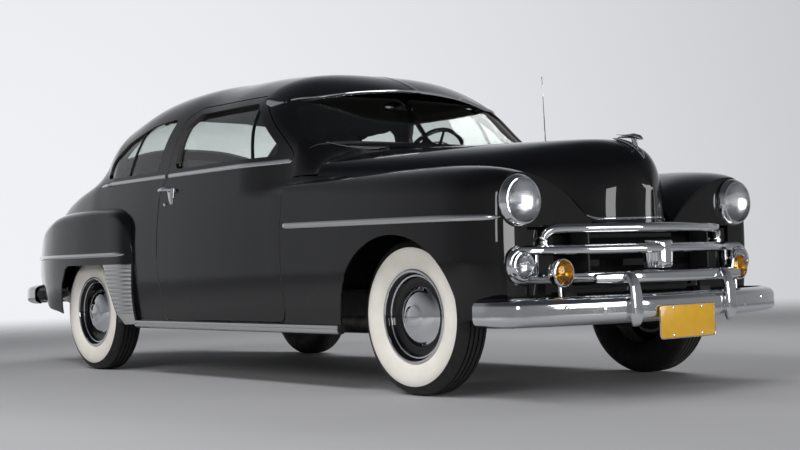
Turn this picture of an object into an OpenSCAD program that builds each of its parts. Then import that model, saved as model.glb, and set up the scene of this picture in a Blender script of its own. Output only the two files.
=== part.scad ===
// Classic two-door fastback saloon, about 1950: separate panels on a ladder chassis.
// Millimetres. +X is forward, +Y is the car's left, +Z is up.
// The origin is on the ground, below the middle of the car's box.

/* [Overall] */
// Length over the bumpers
overall_length = 4986; // [4900:10:5100]
// Distance between the axles
wheelbase = 2921; // [2880:1:2960]
// Front axle to the front of the front plate
front_overhang = 853; // [840:1:880]
// Distance between the front wheels' middle planes
front_track = 1430; // [1410:1:1450]
// Distance between the rear wheels' middle planes
rear_track = 1490; // [1470:1:1500]

/* [Body] */
// Half width of the doors at their widest
body_half_w = 884; // [870:1:900]
// Half width of the front fenders at the axle
front_fender_half_w = 904; // [895:1:920]
// Half width of the rear fenders at the axle
rear_fender_half_w = 922; // [915:1:930]
// Height of the belt line
belt_z = 1073; // [1060:1:1085]
// Height of the roof
roof_z = 1598; // [1570:1:1620]
// Height of the sills' lower edge
sill_z = 300; // [280:1:310]
// Height of the bonnet's crown at its middle
bonnet_z = 1107; // [1095:1:1115]
// Thickness of roof, quarters and cowl
wall_t = 30; // [24:1:36]
// Thickness of the doors
door_t = 60; // [50:1:70]
// Thickness of fenders, bonnet and boot lid
skin_t = 16; // [12:1:20]
// Gap round each moving panel
panel_gap = 6; // [5:0.5:9]
// Front edge of the door, from the rear axle, as a share of the wheelbase
door_front_f = 0.7095; // [0.70:0.001:0.715]
// Rear edge of the door, from the rear axle, as a share of the wheelbase
door_rear_f = 0.300; // [0.29:0.001:0.305]

/* [Wheels] */
// Outer radius of the tyres
tyre_r = 338; // [330:1:342]
// Width of the tyres
tyre_w = 168; // [160:1:176]
// Radius of the rim's bead seat
rim_r = 190; // [186:1:196]
// Radius of the hub cap
cap_r = 122; // [110:1:130]
// Radius of the wheel spindles
spindle_r = 22; // [18:1:26]
// Running clearance of spindles and columns
running_gap = 0.06; // [0.02:0.01:0.1]
// Kingpin to the wheel's middle plane
kingpin_offset = 70; // [62:1:80]

/* [Bumpers] */
// Height of the bumper bars' faces
bumper_h = 116; // [100:1:130]
// Height of the front bumper's middle
front_bumper_z = 358; // [340:1:375]
// Height of the rear bumper's middle
rear_bumper_z = 440; // [425:1:450]
// Side distance of the bumper guards
guard_y = 300; // [280:1:320]

/* [Lamps] */
// Side distance of the headlamps
headlamp_y = 682; // [675:1:690]
// Height of the headlamps
headlamp_z = 806; // [800:1:812]
// Outer radius of a headlamp's ring
headlamp_r = 108; // [100:1:112]
// Side distance of the parking lamps
parking_y = 690; // [685:1:700]
// Height of the parking lamps
parking_z = 540; // [535:1:545]

/* [Hidden] */
$fn = 48;
RIGHT = -1;
LEFT = 1;
front_x = overall_length / 2;
rear_x = -front_x;
axle_f = front_x - front_overhang;
axle_r = axle_f - wheelbase;
rear_overhang = overall_length - wheelbase - front_overhang;
seat_gap = 0.3;
door_front = along(door_front_f);
door_rear = along(door_rear_f);
far = 3000;

// Places along the car: between the axles, behind the rear one, ahead of the front one
function along(f) = axle_r + f * wheelbase;
function tail(f) = axle_r - f * rear_overhang;
function nose(f) = axle_f + f * front_overhang;

// Smooth curve through one column of a table whose first column is x, rising
function row_of(tab, x, i = 0) = i >= len(tab) - 2 || x < tab[i + 1][0] ? i : row_of(tab, x, i + 1);
function slope(tab, c, i) = let (a = max(0, i - 1), b = min(len(tab) - 1, i + 1))
    (tab[b][c] - tab[a][c]) / (tab[b][0] - tab[a][0]);
function col(tab, c, x) = let (
    i = row_of(tab, x), x0 = tab[i][0], h = tab[i + 1][0] - x0,
    t = max(0, min(1, (x - x0) / h)), t2 = t * t, t3 = t2 * t)
    (2 * t3 - 3 * t2 + 1) * tab[i][c] + (t3 - 2 * t2 + t) * h * slope(tab, c, i)
    + (3 * t2 - 2 * t3) * tab[i + 1][c] + (t3 - t2) * h * slope(tab, c, i + 1);
function ease(t) = let (u = max(0, min(1, t))) u * u * (3 - 2 * u);
// A table's own stations, with each step cut so that none is longer than the given one
function stations(tab, step) = [
    for (i = [0 : len(tab) - 2])
        let (a = tab[i][0], b = tab[i + 1][0], n = ceil((b - a) / step))
            for (k = [0 : n - 1]) a + (b - a) * k / n,
    tab[len(tab) - 1][0]];

// Body sections, tail to cowl
// x, half width, bottom z, belt z, roof z, roundness, shoulder beside the cabin
BODY = [
    [tail(0.923), body_half_w - 480, sill_z + 140, belt_z - 430, roof_z - 938, 2.2, 60],
    [tail(0.866), body_half_w - 384, sill_z + 130, belt_z - 345, roof_z - 838, 2.2, 90],
    [tail(0.717), body_half_w - 246, sill_z + 115, belt_z - 215, roof_z - 668, 2.2, 150],
    [tail(0.511), body_half_w - 154, sill_z + 100, belt_z - 122, roof_z - 493, 2.3, 190],
    [tail(0.263), body_half_w - 86, sill_z + 70, belt_z - 54, roof_z - 330, 2.5, 180],
    [along(0.000), body_half_w - 44, sill_z + 30, belt_z - 16, roof_z - 176, 2.7, 80],
    [along(0.050), body_half_w - 36, sill_z + 14, belt_z - 3, roof_z - 128, 2.8, 26],
    [along(0.096), body_half_w - 28, sill_z + 5, belt_z, roof_z - 92, 2.95, 0],
    [along(0.199), body_half_w - 16, sill_z, belt_z, roof_z - 30, 3.3, 0],
    [along(0.302), body_half_w - 9, sill_z, belt_z, roof_z - 2, 3.2, 0],
    [along(0.404), body_half_w - 3, sill_z, belt_z, roof_z, 2.8, 0],
    [along(0.507), body_half_w, sill_z, belt_z, roof_z - 8, 2.8, 0],
    [along(0.593), body_half_w + 1, sill_z, belt_z, roof_z - 42, 3.0, 0],
    [along(0.630), body_half_w + 1, sill_z, belt_z, roof_z - 88, 3.4, 0],
    [along(0.658), body_half_w + 1, sill_z, belt_z, roof_z - 160, 4.0, 0],
    [along(0.686), body_half_w + 2, sill_z, belt_z, roof_z - 253, 4.0, 0],
    [along(0.713), body_half_w + 2, sill_z, belt_z, roof_z - 345, 4.0, 0],
    [along(0.741), body_half_w + 2, sill_z, belt_z, roof_z - 438, 4.0, 0],
    [along(0.767), body_half_w + 3, sill_z, belt_z, roof_z - 462, 3.0, 0]];
BODY_X = stations(BODY, 165);
LOWER_SHARES = [0, 0.18, 0.42, 0.66, 0.78, 0.86, 1];
UPPER_STEPS = 8;
side_low_tuck = 28;
side_top_tuck = 40;
widest_share = 0.42;
cant_lean = 0.12;
shelf_start = along(0.575);
shelf_depth = 55;
shelf_low = belt_z - 168;
shelf_high = belt_z - 105;

// Outer half width of the body side at a height below the belt
function side_y(x, z) = let (
    w = col(BODY, 1, x), zb = col(BODY, 2, x), zt = col(BODY, 3, x),
    zw = zb + widest_share * (zt - zb),
    low = side_low_tuck * pow(max(0, zw - z) / (zw - zb), 2),
    top = side_top_tuck * pow(max(0, z - zw) / (zt - zw), 2),
    shelf = shelf_depth * ease((x - shelf_start) / (along(0.72) - shelf_start))
        * ease((z - shelf_low) / (shelf_high - shelf_low)))
    w - low - top - shelf;
// Half section of the body, sill to roof centre, taken in by inset
function body_half(x, inset) = let (
    zb = col(BODY, 2, x), zt = col(BODY, 3, x), zr = col(BODY, 4, x), n = col(BODY, 5, x),
    wg = side_y(x, zt) - max(0, col(BODY, 6, x)))
    [for (s = LOWER_SHARES) let (z = zb + s * (zt - zb))
        [side_y(x, z) - inset, s == 0 && inset != 0 ? z - 60 : z],
     for (k = [1 : UPPER_STEPS]) let (
        a = 90 * k / UPPER_STEPS,
        up = (zr - zt - inset) * pow(sin(a), 2 / n),
        y = (wg - inset - cant_lean * up) * pow(max(0, cos(a)), 2 / n))
        [k == UPPER_STEPS ? 0 : y, zt + up]];

// Closed solid through rings of points that all have the same count
// From the given edge on, each four-sided face is split along its other diagonal
module loft(rings, other_from = far) {
    m = len(rings[0]);
    n = len(rings);
    polyhedron(
        [for (r = rings) each r],
        [[for (j = [m - 1 : -1 : 0]) j],
         [for (j = [0 : m - 1]) (n - 1) * m + j],
         for (i = [0 : n - 2], j = [0 : m - 1]) let (a = i * m + j, b = i * m + (j + 1) % m)
            each j < other_from ? [[a, b, a + m], [b, b + m, a + m]] : [[a, b, b + m], [a, b + m, a + m]]],
        convexity = 8);
}
// Ring across the car from one half section
function ring(x, half) = [
    for (p = half) [x, -p[0], p[1]],
    for (k = [len(half) - 2 : -1 : 0]) [x, half[k][0], half[k][1]]];
module body_solid(inset, x0 = -far, x1 = far) {
    half_count = len(LOWER_SHARES) + UPPER_STEPS;
    loft([for (x = BODY_X) if (x >= x0 && x <= x1) ring(x, body_half(x, inset))], half_count - 1);
}
module body_wall(t, x0 = -far, x1 = far) {
    difference() {
        body_solid(0, x0, x1);
        intersection() {
            body_solid(t, x0, x1);
            span(BODY_X[0] + t, far);
        }
    }
}
// Thin curved panels are cut as one mesh
module panel() { resize([0, 0, 0]) children(); }
// Everything between two places along the car
module span(x0, x1) { translate([x0, -far, -far]) cube([x1 - x0, 2 * far, 2 * far]); }
module above(z) { translate([-far, -far, z]) cube([2 * far, 2 * far, far]); }
module below(z) { translate([-far, -far, z - far]) cube([2 * far, 2 * far, far]); }
module right_half() { translate([-far, -far, -far]) cube([2 * far, far, 2 * far]); }
// A side outline drawn in x and z, pushed out through one side
module through_side(y0 = 450, y1 = 1000) {
    translate([0, -y0, 0]) rotate([90, 0, 0]) linear_extrude(y1 - y0) children();
}
module mirrored(side) { mirror([0, side == LEFT ? 1 : 0, 0]) children(); }
module both() { children(); mirror([0, 1, 0]) children(); }
module rounded(r) { offset(r = r, $fn = 24) offset(delta = -r) children(); }

// Side outlines, in x and z
module door_outline() {
    rounded(45) polygon([
        [door_front, sill_z + 5], [door_front, belt_z + 8],
        [along(0.6585), belt_z + 290], [along(0.640), belt_z + 352],
        [along(0.380), belt_z + 358], [along(0.350), belt_z + 300],
        [along(0.325), belt_z], [door_rear + 6, belt_z - 100],
        [door_rear - 5, belt_z - 430], [door_rear + 34, sill_z + 5]]);
}
module door_window() {
    rounded(32) polygon([
        [along(0.678), belt_z + 32], [along(0.645), belt_z + 282],
        [along(0.630), belt_z + 318], [along(0.391), belt_z + 320],
        [along(0.3640), belt_z + 250], [along(0.3500), belt_z + 32]]);
}
module quarter_window() {
    rounded(28) polygon([
        [along(0.283), belt_z + 32], [along(0.322), belt_z + 318],
        [along(0.230), belt_z + 296], [along(0.140), belt_z + 226],
        [along(0.083), belt_z + 128], [along(0.058), belt_z + 32]]);
}
// Angle of the door's upper rear edge from upright, where the gap is wider for its swing
door_lean = -13.6;
screen_top = belt_z + 348;
screen_foot = belt_z + 104;
divider_w = 26;
module screen_pane() {
    rounded(40) polygon([
        [divider_w / 2, screen_foot], [divider_w / 2, screen_top],
        [560, screen_top - 14], [640, screen_top - 80], [735, screen_foot - 6]]);
}
module screen_cut() {
    both() translate([along(0.61), 0, 0]) rotate([90, 0, 90]) linear_extrude(700) screen_pane();
}
rear_window_front = along(0.070);
rear_window_back = tail(0.150);
rear_window_half_w = 470;
module rear_window_outline() {
    rounded(70) polygon([
        [rear_window_front, -rear_window_half_w], [rear_window_front, rear_window_half_w],
        [rear_window_back, rear_window_half_w + 40], [rear_window_back, -rear_window_half_w - 40]]);
}
module rear_window_cut() { translate([0, 0, belt_z]) linear_extrude(far) rear_window_outline(); }
// Boot opening, seen from above, and its lower lip
boot_front = tail(0.225);
boot_half_w = 430;
boot_lip_z = sill_z + 235;
module boot_outline(grow) {
    offset(delta = grow) rounded(60) polygon([
        [boot_front, -boot_half_w], [boot_front, boot_half_w],
        [tail(1.1), boot_half_w - 95], [tail(1.1), -boot_half_w + 95]]);
}
module boot_cut(grow) {
    translate([0, 0, boot_lip_z - grow]) linear_extrude(far) boot_outline(grow);
}
wheel_house_half = 378;
rear_arch_z = 612;
// Opening of the rear fender: upright behind the wheel, leaning forward along the bright shield
module rear_arch() {
    rounded(60) polygon([
        [along(-0.088), -far], [along(-0.087), sill_z + 66], [along(-0.076), sill_z + 196],
        [along(-0.050), rear_arch_z], [along(0.115), rear_arch_z], [along(0.1345), sill_z + 170],
        [along(0.1555), sill_z + 27], [along(0.19), -far]]);
}
front_arch_half = 402;
front_arch_z = 690;
// Wheel opening: upper half of an oval on straight legs
module arch(x, half, top, foot_z) {
    squeeze = (top - foot_z) / half;
    translate([x, foot_z]) polygon([
        [-half, -400], [half, -400],
        for (k = [0 : 23]) let (a = 180 * k / 23) [half * cos(a), squeeze * half * pow(sin(a), 0.9)]]);
}

// Body shell
split_x = door_front + panel_gap / 2;
roof_back = tail(0.205);
cowl_split_z = belt_z - 79;
firewall_x = along(0.728);
firewall_t = 11;
firewall_edge = 12;
floor_z = 430;
floor_t = 8;
module cowl() {
    color("black") panel() difference() {
        union() {
            intersection() {
                body_wall(wall_t, along(0.65));
                span(split_x, far);
                above(cowl_split_z + 4);
            }
            intersection() {
                difference() { body_solid(skin_t + 4, along(0.65)); body_solid(skin_t + wall_t, along(0.65)); }
                span(split_x + 4, far);
                below(belt_z - 114);
                above(sill_z + 4);
            }
            intersection() {
                body_solid(skin_t + firewall_edge, along(0.65));
                span(firewall_x, firewall_x + firewall_t);
                above(floor_z + floor_t);
                below(belt_z + 60);
            }
            intersection() {
                difference() { body_solid(5, along(0.65)); body_solid(wall_t, along(0.65)); }
                translate([along(0.767) - 10, -60, belt_z]) cube([10 + panel_gap - pad_gap, 120, 200]);
            }
            both() for (z = [sill_z + 130, belt_z - 252]) intersection() {
                difference() { body_solid(skin_t + 4, along(0.65)); body_solid(door_t - 6, along(0.65)); }
                translate([door_front - panel_gap / 2 + pad_gap, -far, z]) cube([20, far, 60]);
            }
        }
        screen_cut();
        both() difference() { fender_solid(-2); fender_solid(skin_t + 2); }
    }
}
module roof() {
    color("black") panel() difference() {
        intersection() {
            body_wall(wall_t, tail(0.6), along(0.75));
            span(roof_back, split_x);
            above(belt_z);
        }
        both() through_side() offset(delta = panel_gap / 2) door_outline();
        both() through_side() quarter_window();
        screen_cut();
        rear_window_cut();
    }
}
pad_gap = 0.4;
tail_cut_z = sill_z + 205;
module quarter(side) {
    color("black") panel() mirrored(side) difference() {
        intersection() {
            union() {
                difference() {
                    body_wall(wall_t, -far, along(0.36));
                    boot_cut(panel_gap);
                }
                translate([along(0.262), -body_half_w + 20, floor_z + floor_t]) cube([70, 100, 30]);
                intersection() {
                    difference() { body_solid(6, -far, along(0.1)); body_solid(wall_t, -far, along(0.1)); }
                    translate([boot_front + pad_gap, -220, 0]) cube([40, 60, far]);
                }
            }
            union() { below(belt_z); span(-far, roof_back); }
            right_half();
        }
        through_side() offset(delta = panel_gap / 2) door_outline();
        through_side(400) arch(axle_r, wheel_house_half, tyre_r * 2 + 45, tyre_r);
        translate([tail(1.1), -far, 0]) cube([tail(0.79) - tail(1.1), 2 * far, tail_cut_z]);
    }
}
module boot_lid() {
    color("black") panel() intersection() {
        body_wall(skin_t, -far, tail(0.1));
        boot_cut(0);
    }
}
frame_t = 34;
module door(side) {
    color("black") panel() mirrored(side) intersection() {
        union() {
            intersection() { body_wall(door_t, along(0.22), along(0.76)); below(belt_z + 26); }
            intersection() { body_wall(frame_t, along(0.22), along(0.76)); above(belt_z + 20); }
        }
        difference() {
            through_side() difference() {
                offset(delta = -panel_gap / 2) door_outline();
                translate([along(0.340), belt_z + 60]) rotate(door_lean) translate([-200, 0]) square([200 + 6, 420]);
            }
            through_side() door_window();
        }
    }
}

// Front fender sections, door to nose
// x, half width, bottom z, shoulder z, crown y, crown z, valley y, valley z, inner foot y, apron z
FENDER = [
    [split_x + panel_gap / 2, body_half_w + 2, sill_z, belt_z - 185, body_half_w - 36, belt_z - 122,
     body_half_w - 77, belt_z - 83, body_half_w - 60, belt_z - 150],
    [along(0.776), body_half_w + 4, sill_z, belt_z - 195, body_half_w - 56, belt_z - 116,
     body_half_w - 100, belt_z - 86, body_half_w - 60, belt_z - 150],
    [along(0.884), front_fender_half_w - 8, sill_z, belt_z - 220, headlamp_y + 95, belt_z - 104,
     body_half_w - 214, belt_z - 110, body_half_w - 60, tyre_r * 2 + 44],
    [nose(0.000), front_fender_half_w, sill_z, belt_z - 243, headlamp_y + 53, belt_z - 100,
     body_half_w - 338, belt_z - 141, body_half_w - 60, tyre_r * 2 + 44],
    [nose(0.305), front_fender_half_w - 2, sill_z + 20, belt_z - 263, headlamp_y + 30, belt_z - 104,
     body_half_w - 444, belt_z - 175, body_half_w - 90, tyre_r * 2 + 44],
    [nose(0.481), front_fender_half_w - 12, sill_z + 30, belt_z - 273, headlamp_y + 18, belt_z - 116,
     body_half_w - 544, belt_z - 222, body_half_w - 190, tyre_r * 2 + 40],
    [nose(0.563), front_fender_half_w - 32, sill_z + 35, belt_z - 278, headlamp_y + 10, belt_z - 126,
     body_half_w - 594, belt_z - 283, body_half_w - 230, tyre_r * 2 + 34],
    [nose(0.622), front_fender_half_w - 76, sill_z + 40, belt_z - 283, headlamp_y + 5, belt_z - 136,
     body_half_w - 622, belt_z - 333, body_half_w - 240, tyre_r * 2 + 26],
    [nose(0.657), front_fender_half_w - 130, sill_z + 44, belt_z - 288, headlamp_y + 2, belt_z - 150,
     body_half_w - 628, belt_z - 352, body_half_w - 244, tyre_r * 2 + 20]];
FENDER_X = stations(FENDER, 130);
fender_front_x = FENDER[len(FENDER) - 1][0];
FENDER_SIDE = [0, 0.2, 0.45, 0.75, 1];
function fender_side_y(x, z) = let (
    w = col(FENDER, 1, x), zb = col(FENDER, 2, x), zw = zb + widest_share * (belt_z - zb),
    low = side_low_tuck * pow(max(0, zw - z) / (zw - zb), 2),
    top = side_top_tuck * pow(max(0, z - zw) / (belt_z - zw), 2))
    w - low - top;
function fender_half(x, inset) = let (
    zb = col(FENDER, 2, x), zs = col(FENDER, 3, x), yc = col(FENDER, 4, x), zc = col(FENDER, 5, x),
    yv = col(FENDER, 6, x), zv = col(FENDER, 7, x), yf = col(FENDER, 8, x), za = col(FENDER, 9, x),
    ys = fender_side_y(x, zs), drop = inset > 0 ? 60 : 0)
    [for (s = FENDER_SIDE) let (z = zb + s * (zs - zb))
        [fender_side_y(x, z) - inset, s == 0 ? z - drop : z],
     for (a = [22.5 : 22.5 : 90])
        [yc + (ys - inset - yc) * pow(max(0, cos(a)), 0.85), zs + (zc - inset - zs) * pow(sin(a), 0.85)],
     for (t = [0.75, 0.5, 0.25, 0.1, 0]) let (y = yv + t * (yc - yv))
        [y + inset * (1 - t), zv + (zc - zv) * (1 - pow(1 - t, 2)) - inset],
     [yv + inset, za - drop],
     [yf - drop, za - drop],
     [yf - drop, zb - drop]];
module fender_solid(inset) {
    loft([for (x = FENDER_X) [for (p = fender_half(x, inset)) [x, -p[0], p[1]]]]);
}
module front_fender(side) {
    color("black") mirrored(-side) panel() mirror([0, 1, 0]) difference() {
        union() {
            difference() {
                fender_solid(0);
                intersection() { fender_solid(skin_t); span(-far, fender_front_x - skin_t); }
            }
            intersection() {
                fender_solid(2);
                translate([along(0.767) + seat_gap, -body_half_w - 20, sill_z + 10])
                    cube([8, 76, belt_z - sill_z - 200]);
            }
        }
        through_side(420) arch(axle_f, front_arch_half, front_arch_z, sill_z);
    }
}

// Rear fender sections, door to tail
// x, half width, bottom z, shoulder z, top z
rear_fender_front = along(0.2045);
REAR_FENDER = [
    [tail(0.872), rear_fender_half_w - 330, sill_z + 170, belt_z - 430, belt_z - 360],
    [tail(0.800), rear_fender_half_w - 242, sill_z + 158, belt_z - 395, belt_z - 300],
    [tail(0.717), rear_fender_half_w - 178, sill_z + 146, belt_z - 360, belt_z - 250],
    [tail(0.552), rear_fender_half_w - 98, sill_z + 110, belt_z - 300, belt_z - 190],
    [tail(0.428), rear_fender_half_w - 50, sill_z + 62, belt_z - 270, belt_z - 160],
    [tail(0.263), rear_fender_half_w - 16, sill_z + 40, belt_z - 215, belt_z - 136],
    [along(0.000), rear_fender_half_w, sill_z - 14, belt_z - 195, belt_z - 122],
    [along(0.120), rear_fender_half_w - 3, sill_z - 14, belt_z - 198, belt_z - 126],
    [along(0.161), rear_fender_half_w - 5, sill_z - 14, belt_z - 212, belt_z - 140],
    [along(0.184), rear_fender_half_w - 10, sill_z - 14, belt_z - 250, belt_z - 172],
    [along(0.1965), rear_fender_half_w - 22, sill_z - 14, belt_z - 302, belt_z - 226],
    [along(0.2005), rear_fender_half_w - 36, sill_z - 14, belt_z - 370, belt_z - 300],
    [rear_fender_front, rear_fender_half_w - 50, sill_z - 14, belt_z - 450, belt_z - 380]];
REAR_FENDER_X = stations(REAR_FENDER, 140);
rear_fender_root = 500;
function rear_fender_half(x, inset) = let (
    w = col(REAR_FENDER, 1, x), zb = col(REAR_FENDER, 2, x), zs = col(REAR_FENDER, 3, x),
    zt = col(REAR_FENDER, 4, x), wi = w - inset, drop = inset > 0 ? 60 : 0)
    [for (s = [0, 0.3, 0.65, 1]) let (z = zb + s * (zs - zb))
        [wi - 22 * pow(max(0, 0.5 - s) * 2, 2) - 10 * pow(max(0, s - 0.5) * 2, 2), s == 0 ? z - drop : z],
     for (a = [15 : 15 : 90]) [rear_fender_root + (wi - 10 - rear_fender_root) * pow(max(0, cos(a)), 0.35),
        zs + (zt - inset - zs) * pow(sin(a), 0.9)],
     [rear_fender_root - drop, zb - drop]];
module rear_fender_solid(inset) {
    loft([for (x = REAR_FENDER_X) [for (p = rear_fender_half(x, inset)) [x, -p[0], p[1]]]]);
}
module rear_fender(side) {
    color("black") panel() mirrored(side) difference() {
        rear_fender_solid(0);
        intersection() {
            rear_fender_solid(skin_t);
            span(REAR_FENDER_X[0] + skin_t, REAR_FENDER_X[len(REAR_FENDER_X) - 1] - skin_t);
        }
        body_solid(-seat_gap, -far, along(0.36));
        intersection() { span(-far, far); below(sill_z - 13); }
        through_side(400) rear_arch();
    }
}

// Bonnet sections, cowl to nose
// x, half width at the edge, edge z, crown z, roundness
bonnet_nose_x = nose(0.797);
BONNET = [
    [along(0.767) + panel_gap, body_half_w - 106, belt_z - 83, bonnet_z + 30, 2.2],
    [along(0.884), body_half_w - 220, belt_z - 105, bonnet_z + 16, 2.2],
    [nose(0.000), body_half_w - 344, belt_z - 136, bonnet_z + 3, 2.2],
    [nose(0.305), body_half_w - 450, belt_z - 170, bonnet_z - 7, 2.3],
    [nose(0.481), body_half_w - 550, belt_z - 217, bonnet_z - 16, 2.4],
    [nose(0.563), body_half_w - 600, belt_z - 278, bonnet_z - 27, 2.4],
    [nose(0.622), body_half_w - 640, belt_z - 336, bonnet_z - 42, 2.4],
    [nose(0.680), body_half_w - 693, belt_z - 341, bonnet_z - 63, 2.4],
    [nose(0.740), body_half_w - 758, belt_z - 341, bonnet_z - 100, 2.4],
    [nose(0.780), body_half_w - 812, belt_z - 341, bonnet_z - 152, 2.4],
    [nose(0.797), body_half_w - 866, belt_z - 341, bonnet_z - 240, 2.4]];
BONNET_X = stations(BONNET, 140);
function bonnet_half(x, inset) = let (
    w = max(6, col(BONNET, 1, x) - inset), ze = col(BONNET, 2, x),
    zc = col(BONNET, 3, x) - inset, n = col(BONNET, 4, x), drop = inset > 0 ? 60 : 0)
    [[w, ze - drop],
     for (a = [10, 20, 32, 45, 60, 75, 90])
        [a == 90 ? 0 : w * pow(cos(a), 2 / n), ze + (zc - ze) * pow(sin(a), 2 / n)]];
module bonnet_solid(inset) {
    loft([for (x = BONNET_X) ring(x, bonnet_half(x, inset))]);
}
module bonnet() {
    color("black") panel() difference() {
        bonnet_solid(0);
        intersection() { bonnet_solid(skin_t); span(-far, bonnet_nose_x - skin_t); }
    }
}
module bonnet_ornament() {
    zt = bonnet_z - 62;
    color("silver") panel() difference() {
        intersection() {
            union() {
                hull() {
                    translate([nose(0.560), 0, bonnet_z - 10]) scale([3, 1, 1]) sphere(14, $fn = 12);
                    translate([nose(0.745), 0, bonnet_z - 96]) sphere(13, $fn = 12);
                }
                hull() {
                    translate([nose(0.690), 0, bonnet_z - 20]) sphere(15, $fn = 12);
                    translate([nose(0.700), 0, bonnet_z - 60]) sphere(12, $fn = 12);
                }
                translate([nose(0.690), 0, bonnet_z - 20]) rotate([90, 0, 0])
                    rotate_extrude($fn = 24) translate([26, 0]) circle(9, $fn = 8);
            }
            above(zt - 90);
        }
        bonnet_solid(-seat_gap);
    }
}

// Glass, set into the shell's own openings
glass_t = 5;
glass_fit = 0.4;
module windscreen() {
    color("lightgrey") panel() intersection() {
        difference() { body_solid(12, along(0.6)); body_solid(12 + glass_t, along(0.6)); }
        both() translate([along(0.61), 0, 0]) rotate([90, 0, 90]) linear_extrude(700)
            offset(delta = -glass_fit) screen_pane();
    }
}
module quarter_glass() {
    color("lightgrey") panel() intersection() {
        difference() {
            body_solid(12, tail(0.1), along(0.4));
            body_solid(12 + glass_t, tail(0.1), along(0.4));
        }
        both() through_side() offset(delta = -glass_fit) quarter_window();
    }
}
module rear_window() {
    color("lightgrey") panel() intersection() {
        difference() {
            body_solid(12, tail(0.35), along(0.25));
            body_solid(12 + glass_t, tail(0.35), along(0.25));
        }
        translate([0, 0, belt_z]) linear_extrude(far) offset(delta = -glass_fit) rear_window_outline();
    }
}
vent_x = along(0.592);
module door_glass(side) {
    color("lightgrey") panel() mirrored(side) intersection() {
        difference() {
            body_solid(20, along(0.3), along(0.76));
            body_solid(20 + glass_t, along(0.3), along(0.76));
        }
        through_side() offset(delta = -glass_fit) door_window();
        union() { span(-far, vent_x - 12); span(vent_x + 12, far); }
    }
}

// Bright pieces on a door: belt strip, handle, lock, and the bar beside the vent window
handle_x = door_rear + 128;
handle_z = belt_z - 80;
module door_fittings(side) {
    color("silver") panel() mirrored(side) union() {
        intersection() {
            difference() { body_solid(-7, along(0.2), along(0.76)); body_solid(-seat_gap, along(0.2), along(0.76)); }
            through_side() translate([along(0.331), belt_z - 12]) square([door_front - along(0.331) - 8, 24]);
        }
        intersection() {
            difference() { body_solid(14, along(0.3), along(0.76)); body_solid(32, along(0.3), along(0.76)); }
            through_side() intersection() {
                offset(delta = -glass_fit) door_window();
                translate([vent_x - 11, belt_z]) square([22, 400]);
            }
        }
        intersection() {
            difference() { body_solid(-34, along(0.2), along(0.6)); body_solid(-seat_gap, along(0.2), along(0.6)); }
            through_side() hull() {
                translate([handle_x, handle_z]) circle(15);
                translate([handle_x + 22, handle_z - 72]) circle(7);
            }
        }
        intersection() {
            difference() { body_solid(-50, along(0.2), along(0.6)); body_solid(-30, along(0.2), along(0.6)); }
            through_side() hull() {
                translate([handle_x + 40, handle_z + 8]) circle(9);
                translate([handle_x - 70, handle_z + 3]) circle(11);
            }
        }
    }
}

// Height of the roof skin at a place seen from above
function roof_up(n, h, y, w) = h * pow(max(0, 1 - pow(min(0.999, abs(y) / w), n)), 1 / n);
function roof_at(x, y) = let (
    zt = col(BODY, 3, x), h = col(BODY, 4, x) - zt, n = col(BODY, 5, x), w = side_y(x, zt),
    u1 = roof_up(n, h, y, w), u2 = roof_up(n, h, y, w - cant_lean * u1),
    u3 = roof_up(n, h, y, w - cant_lean * u2), u4 = roof_up(n, h, y, w - cant_lean * u3))
    zt + (u3 + u4) / 2;
// Exterior sun visor: the roof's front drawn out over the windscreen
visor_back = along(0.588);
visor_front = along(0.7015);
visor_half_w = 660;
visor_stretch = 0.55;
visor_bow = 0.00044;
visor_t = 9;
visor_lift = 3;
function visor_x(y, u) = visor_back + u * (visor_front - visor_bow * y * y - visor_back);
function visor_top(x, y) = roof_at(visor_back + visor_stretch * (x - visor_back), y) + visor_t + visor_lift;
module sun_visor() {
    color("black") loft([for (v = [-10 : 10]) let (y = visor_half_w * v / 10) [
        for (u = [8 : -1 : 0]) let (x = visor_x(y, u / 8)) [x, y, visor_top(x, y)],
        for (u = [0 : 8]) let (x = visor_x(y, u / 8))
            [x, y, max(visor_top(x, y) - visor_t, roof_at(x, y) + visor_lift)]]]);
}

// Fixed bright strips on the body: fender spears, sill strips, quarter belt strips
spear_h = 22;
sill_strip_x = rear_fender_front + 12;
module body_mouldings() {
    color("silver") panel() both() {
        intersection() {
            difference() { fender_solid(-11); fender_solid(-seat_gap); }
            through_side(780) hull() {
                translate([split_x + 30, belt_z - 313]) circle(spear_h / 2);
                translate([nose(0.60), belt_z - 331]) circle(spear_h / 2);
                translate([nose(0.66), belt_z - 332]) circle(2);
            }
        }
        intersection() {
            difference() { rear_fender_solid(-11); rear_fender_solid(-seat_gap); }
            through_side(400) hull() {
                translate([tail(0.80), belt_z - 405]) circle(spear_h / 2);
                translate([along(0.173), belt_z - 407]) circle(spear_h / 2);
                translate([along(0.192), belt_z - 408]) circle(2);
            }
        }
        intersection() {
            difference() { body_solid(-7, tail(0.2), along(0.4)); body_solid(-seat_gap, tail(0.2), along(0.4)); }
            through_side() polygon([
                [along(0.066), belt_z - 12], [along(0.066), belt_z + 12],
                [along(0.321), belt_z + 12], [along(0.316), belt_z - 12]]);
        }
        translate([sill_strip_x, -body_half_w + 12, 0]) rotate([90, 0, 90])
            linear_extrude(axle_f - front_arch_half - sill_strip_x - 20)
                polygon([[0, sill_z - 34], [0, sill_z - 0.9], [46, sill_z - 0.9],
                         [46, sill_z - 34], [18, sill_z - 44]]);
    }
}
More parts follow.
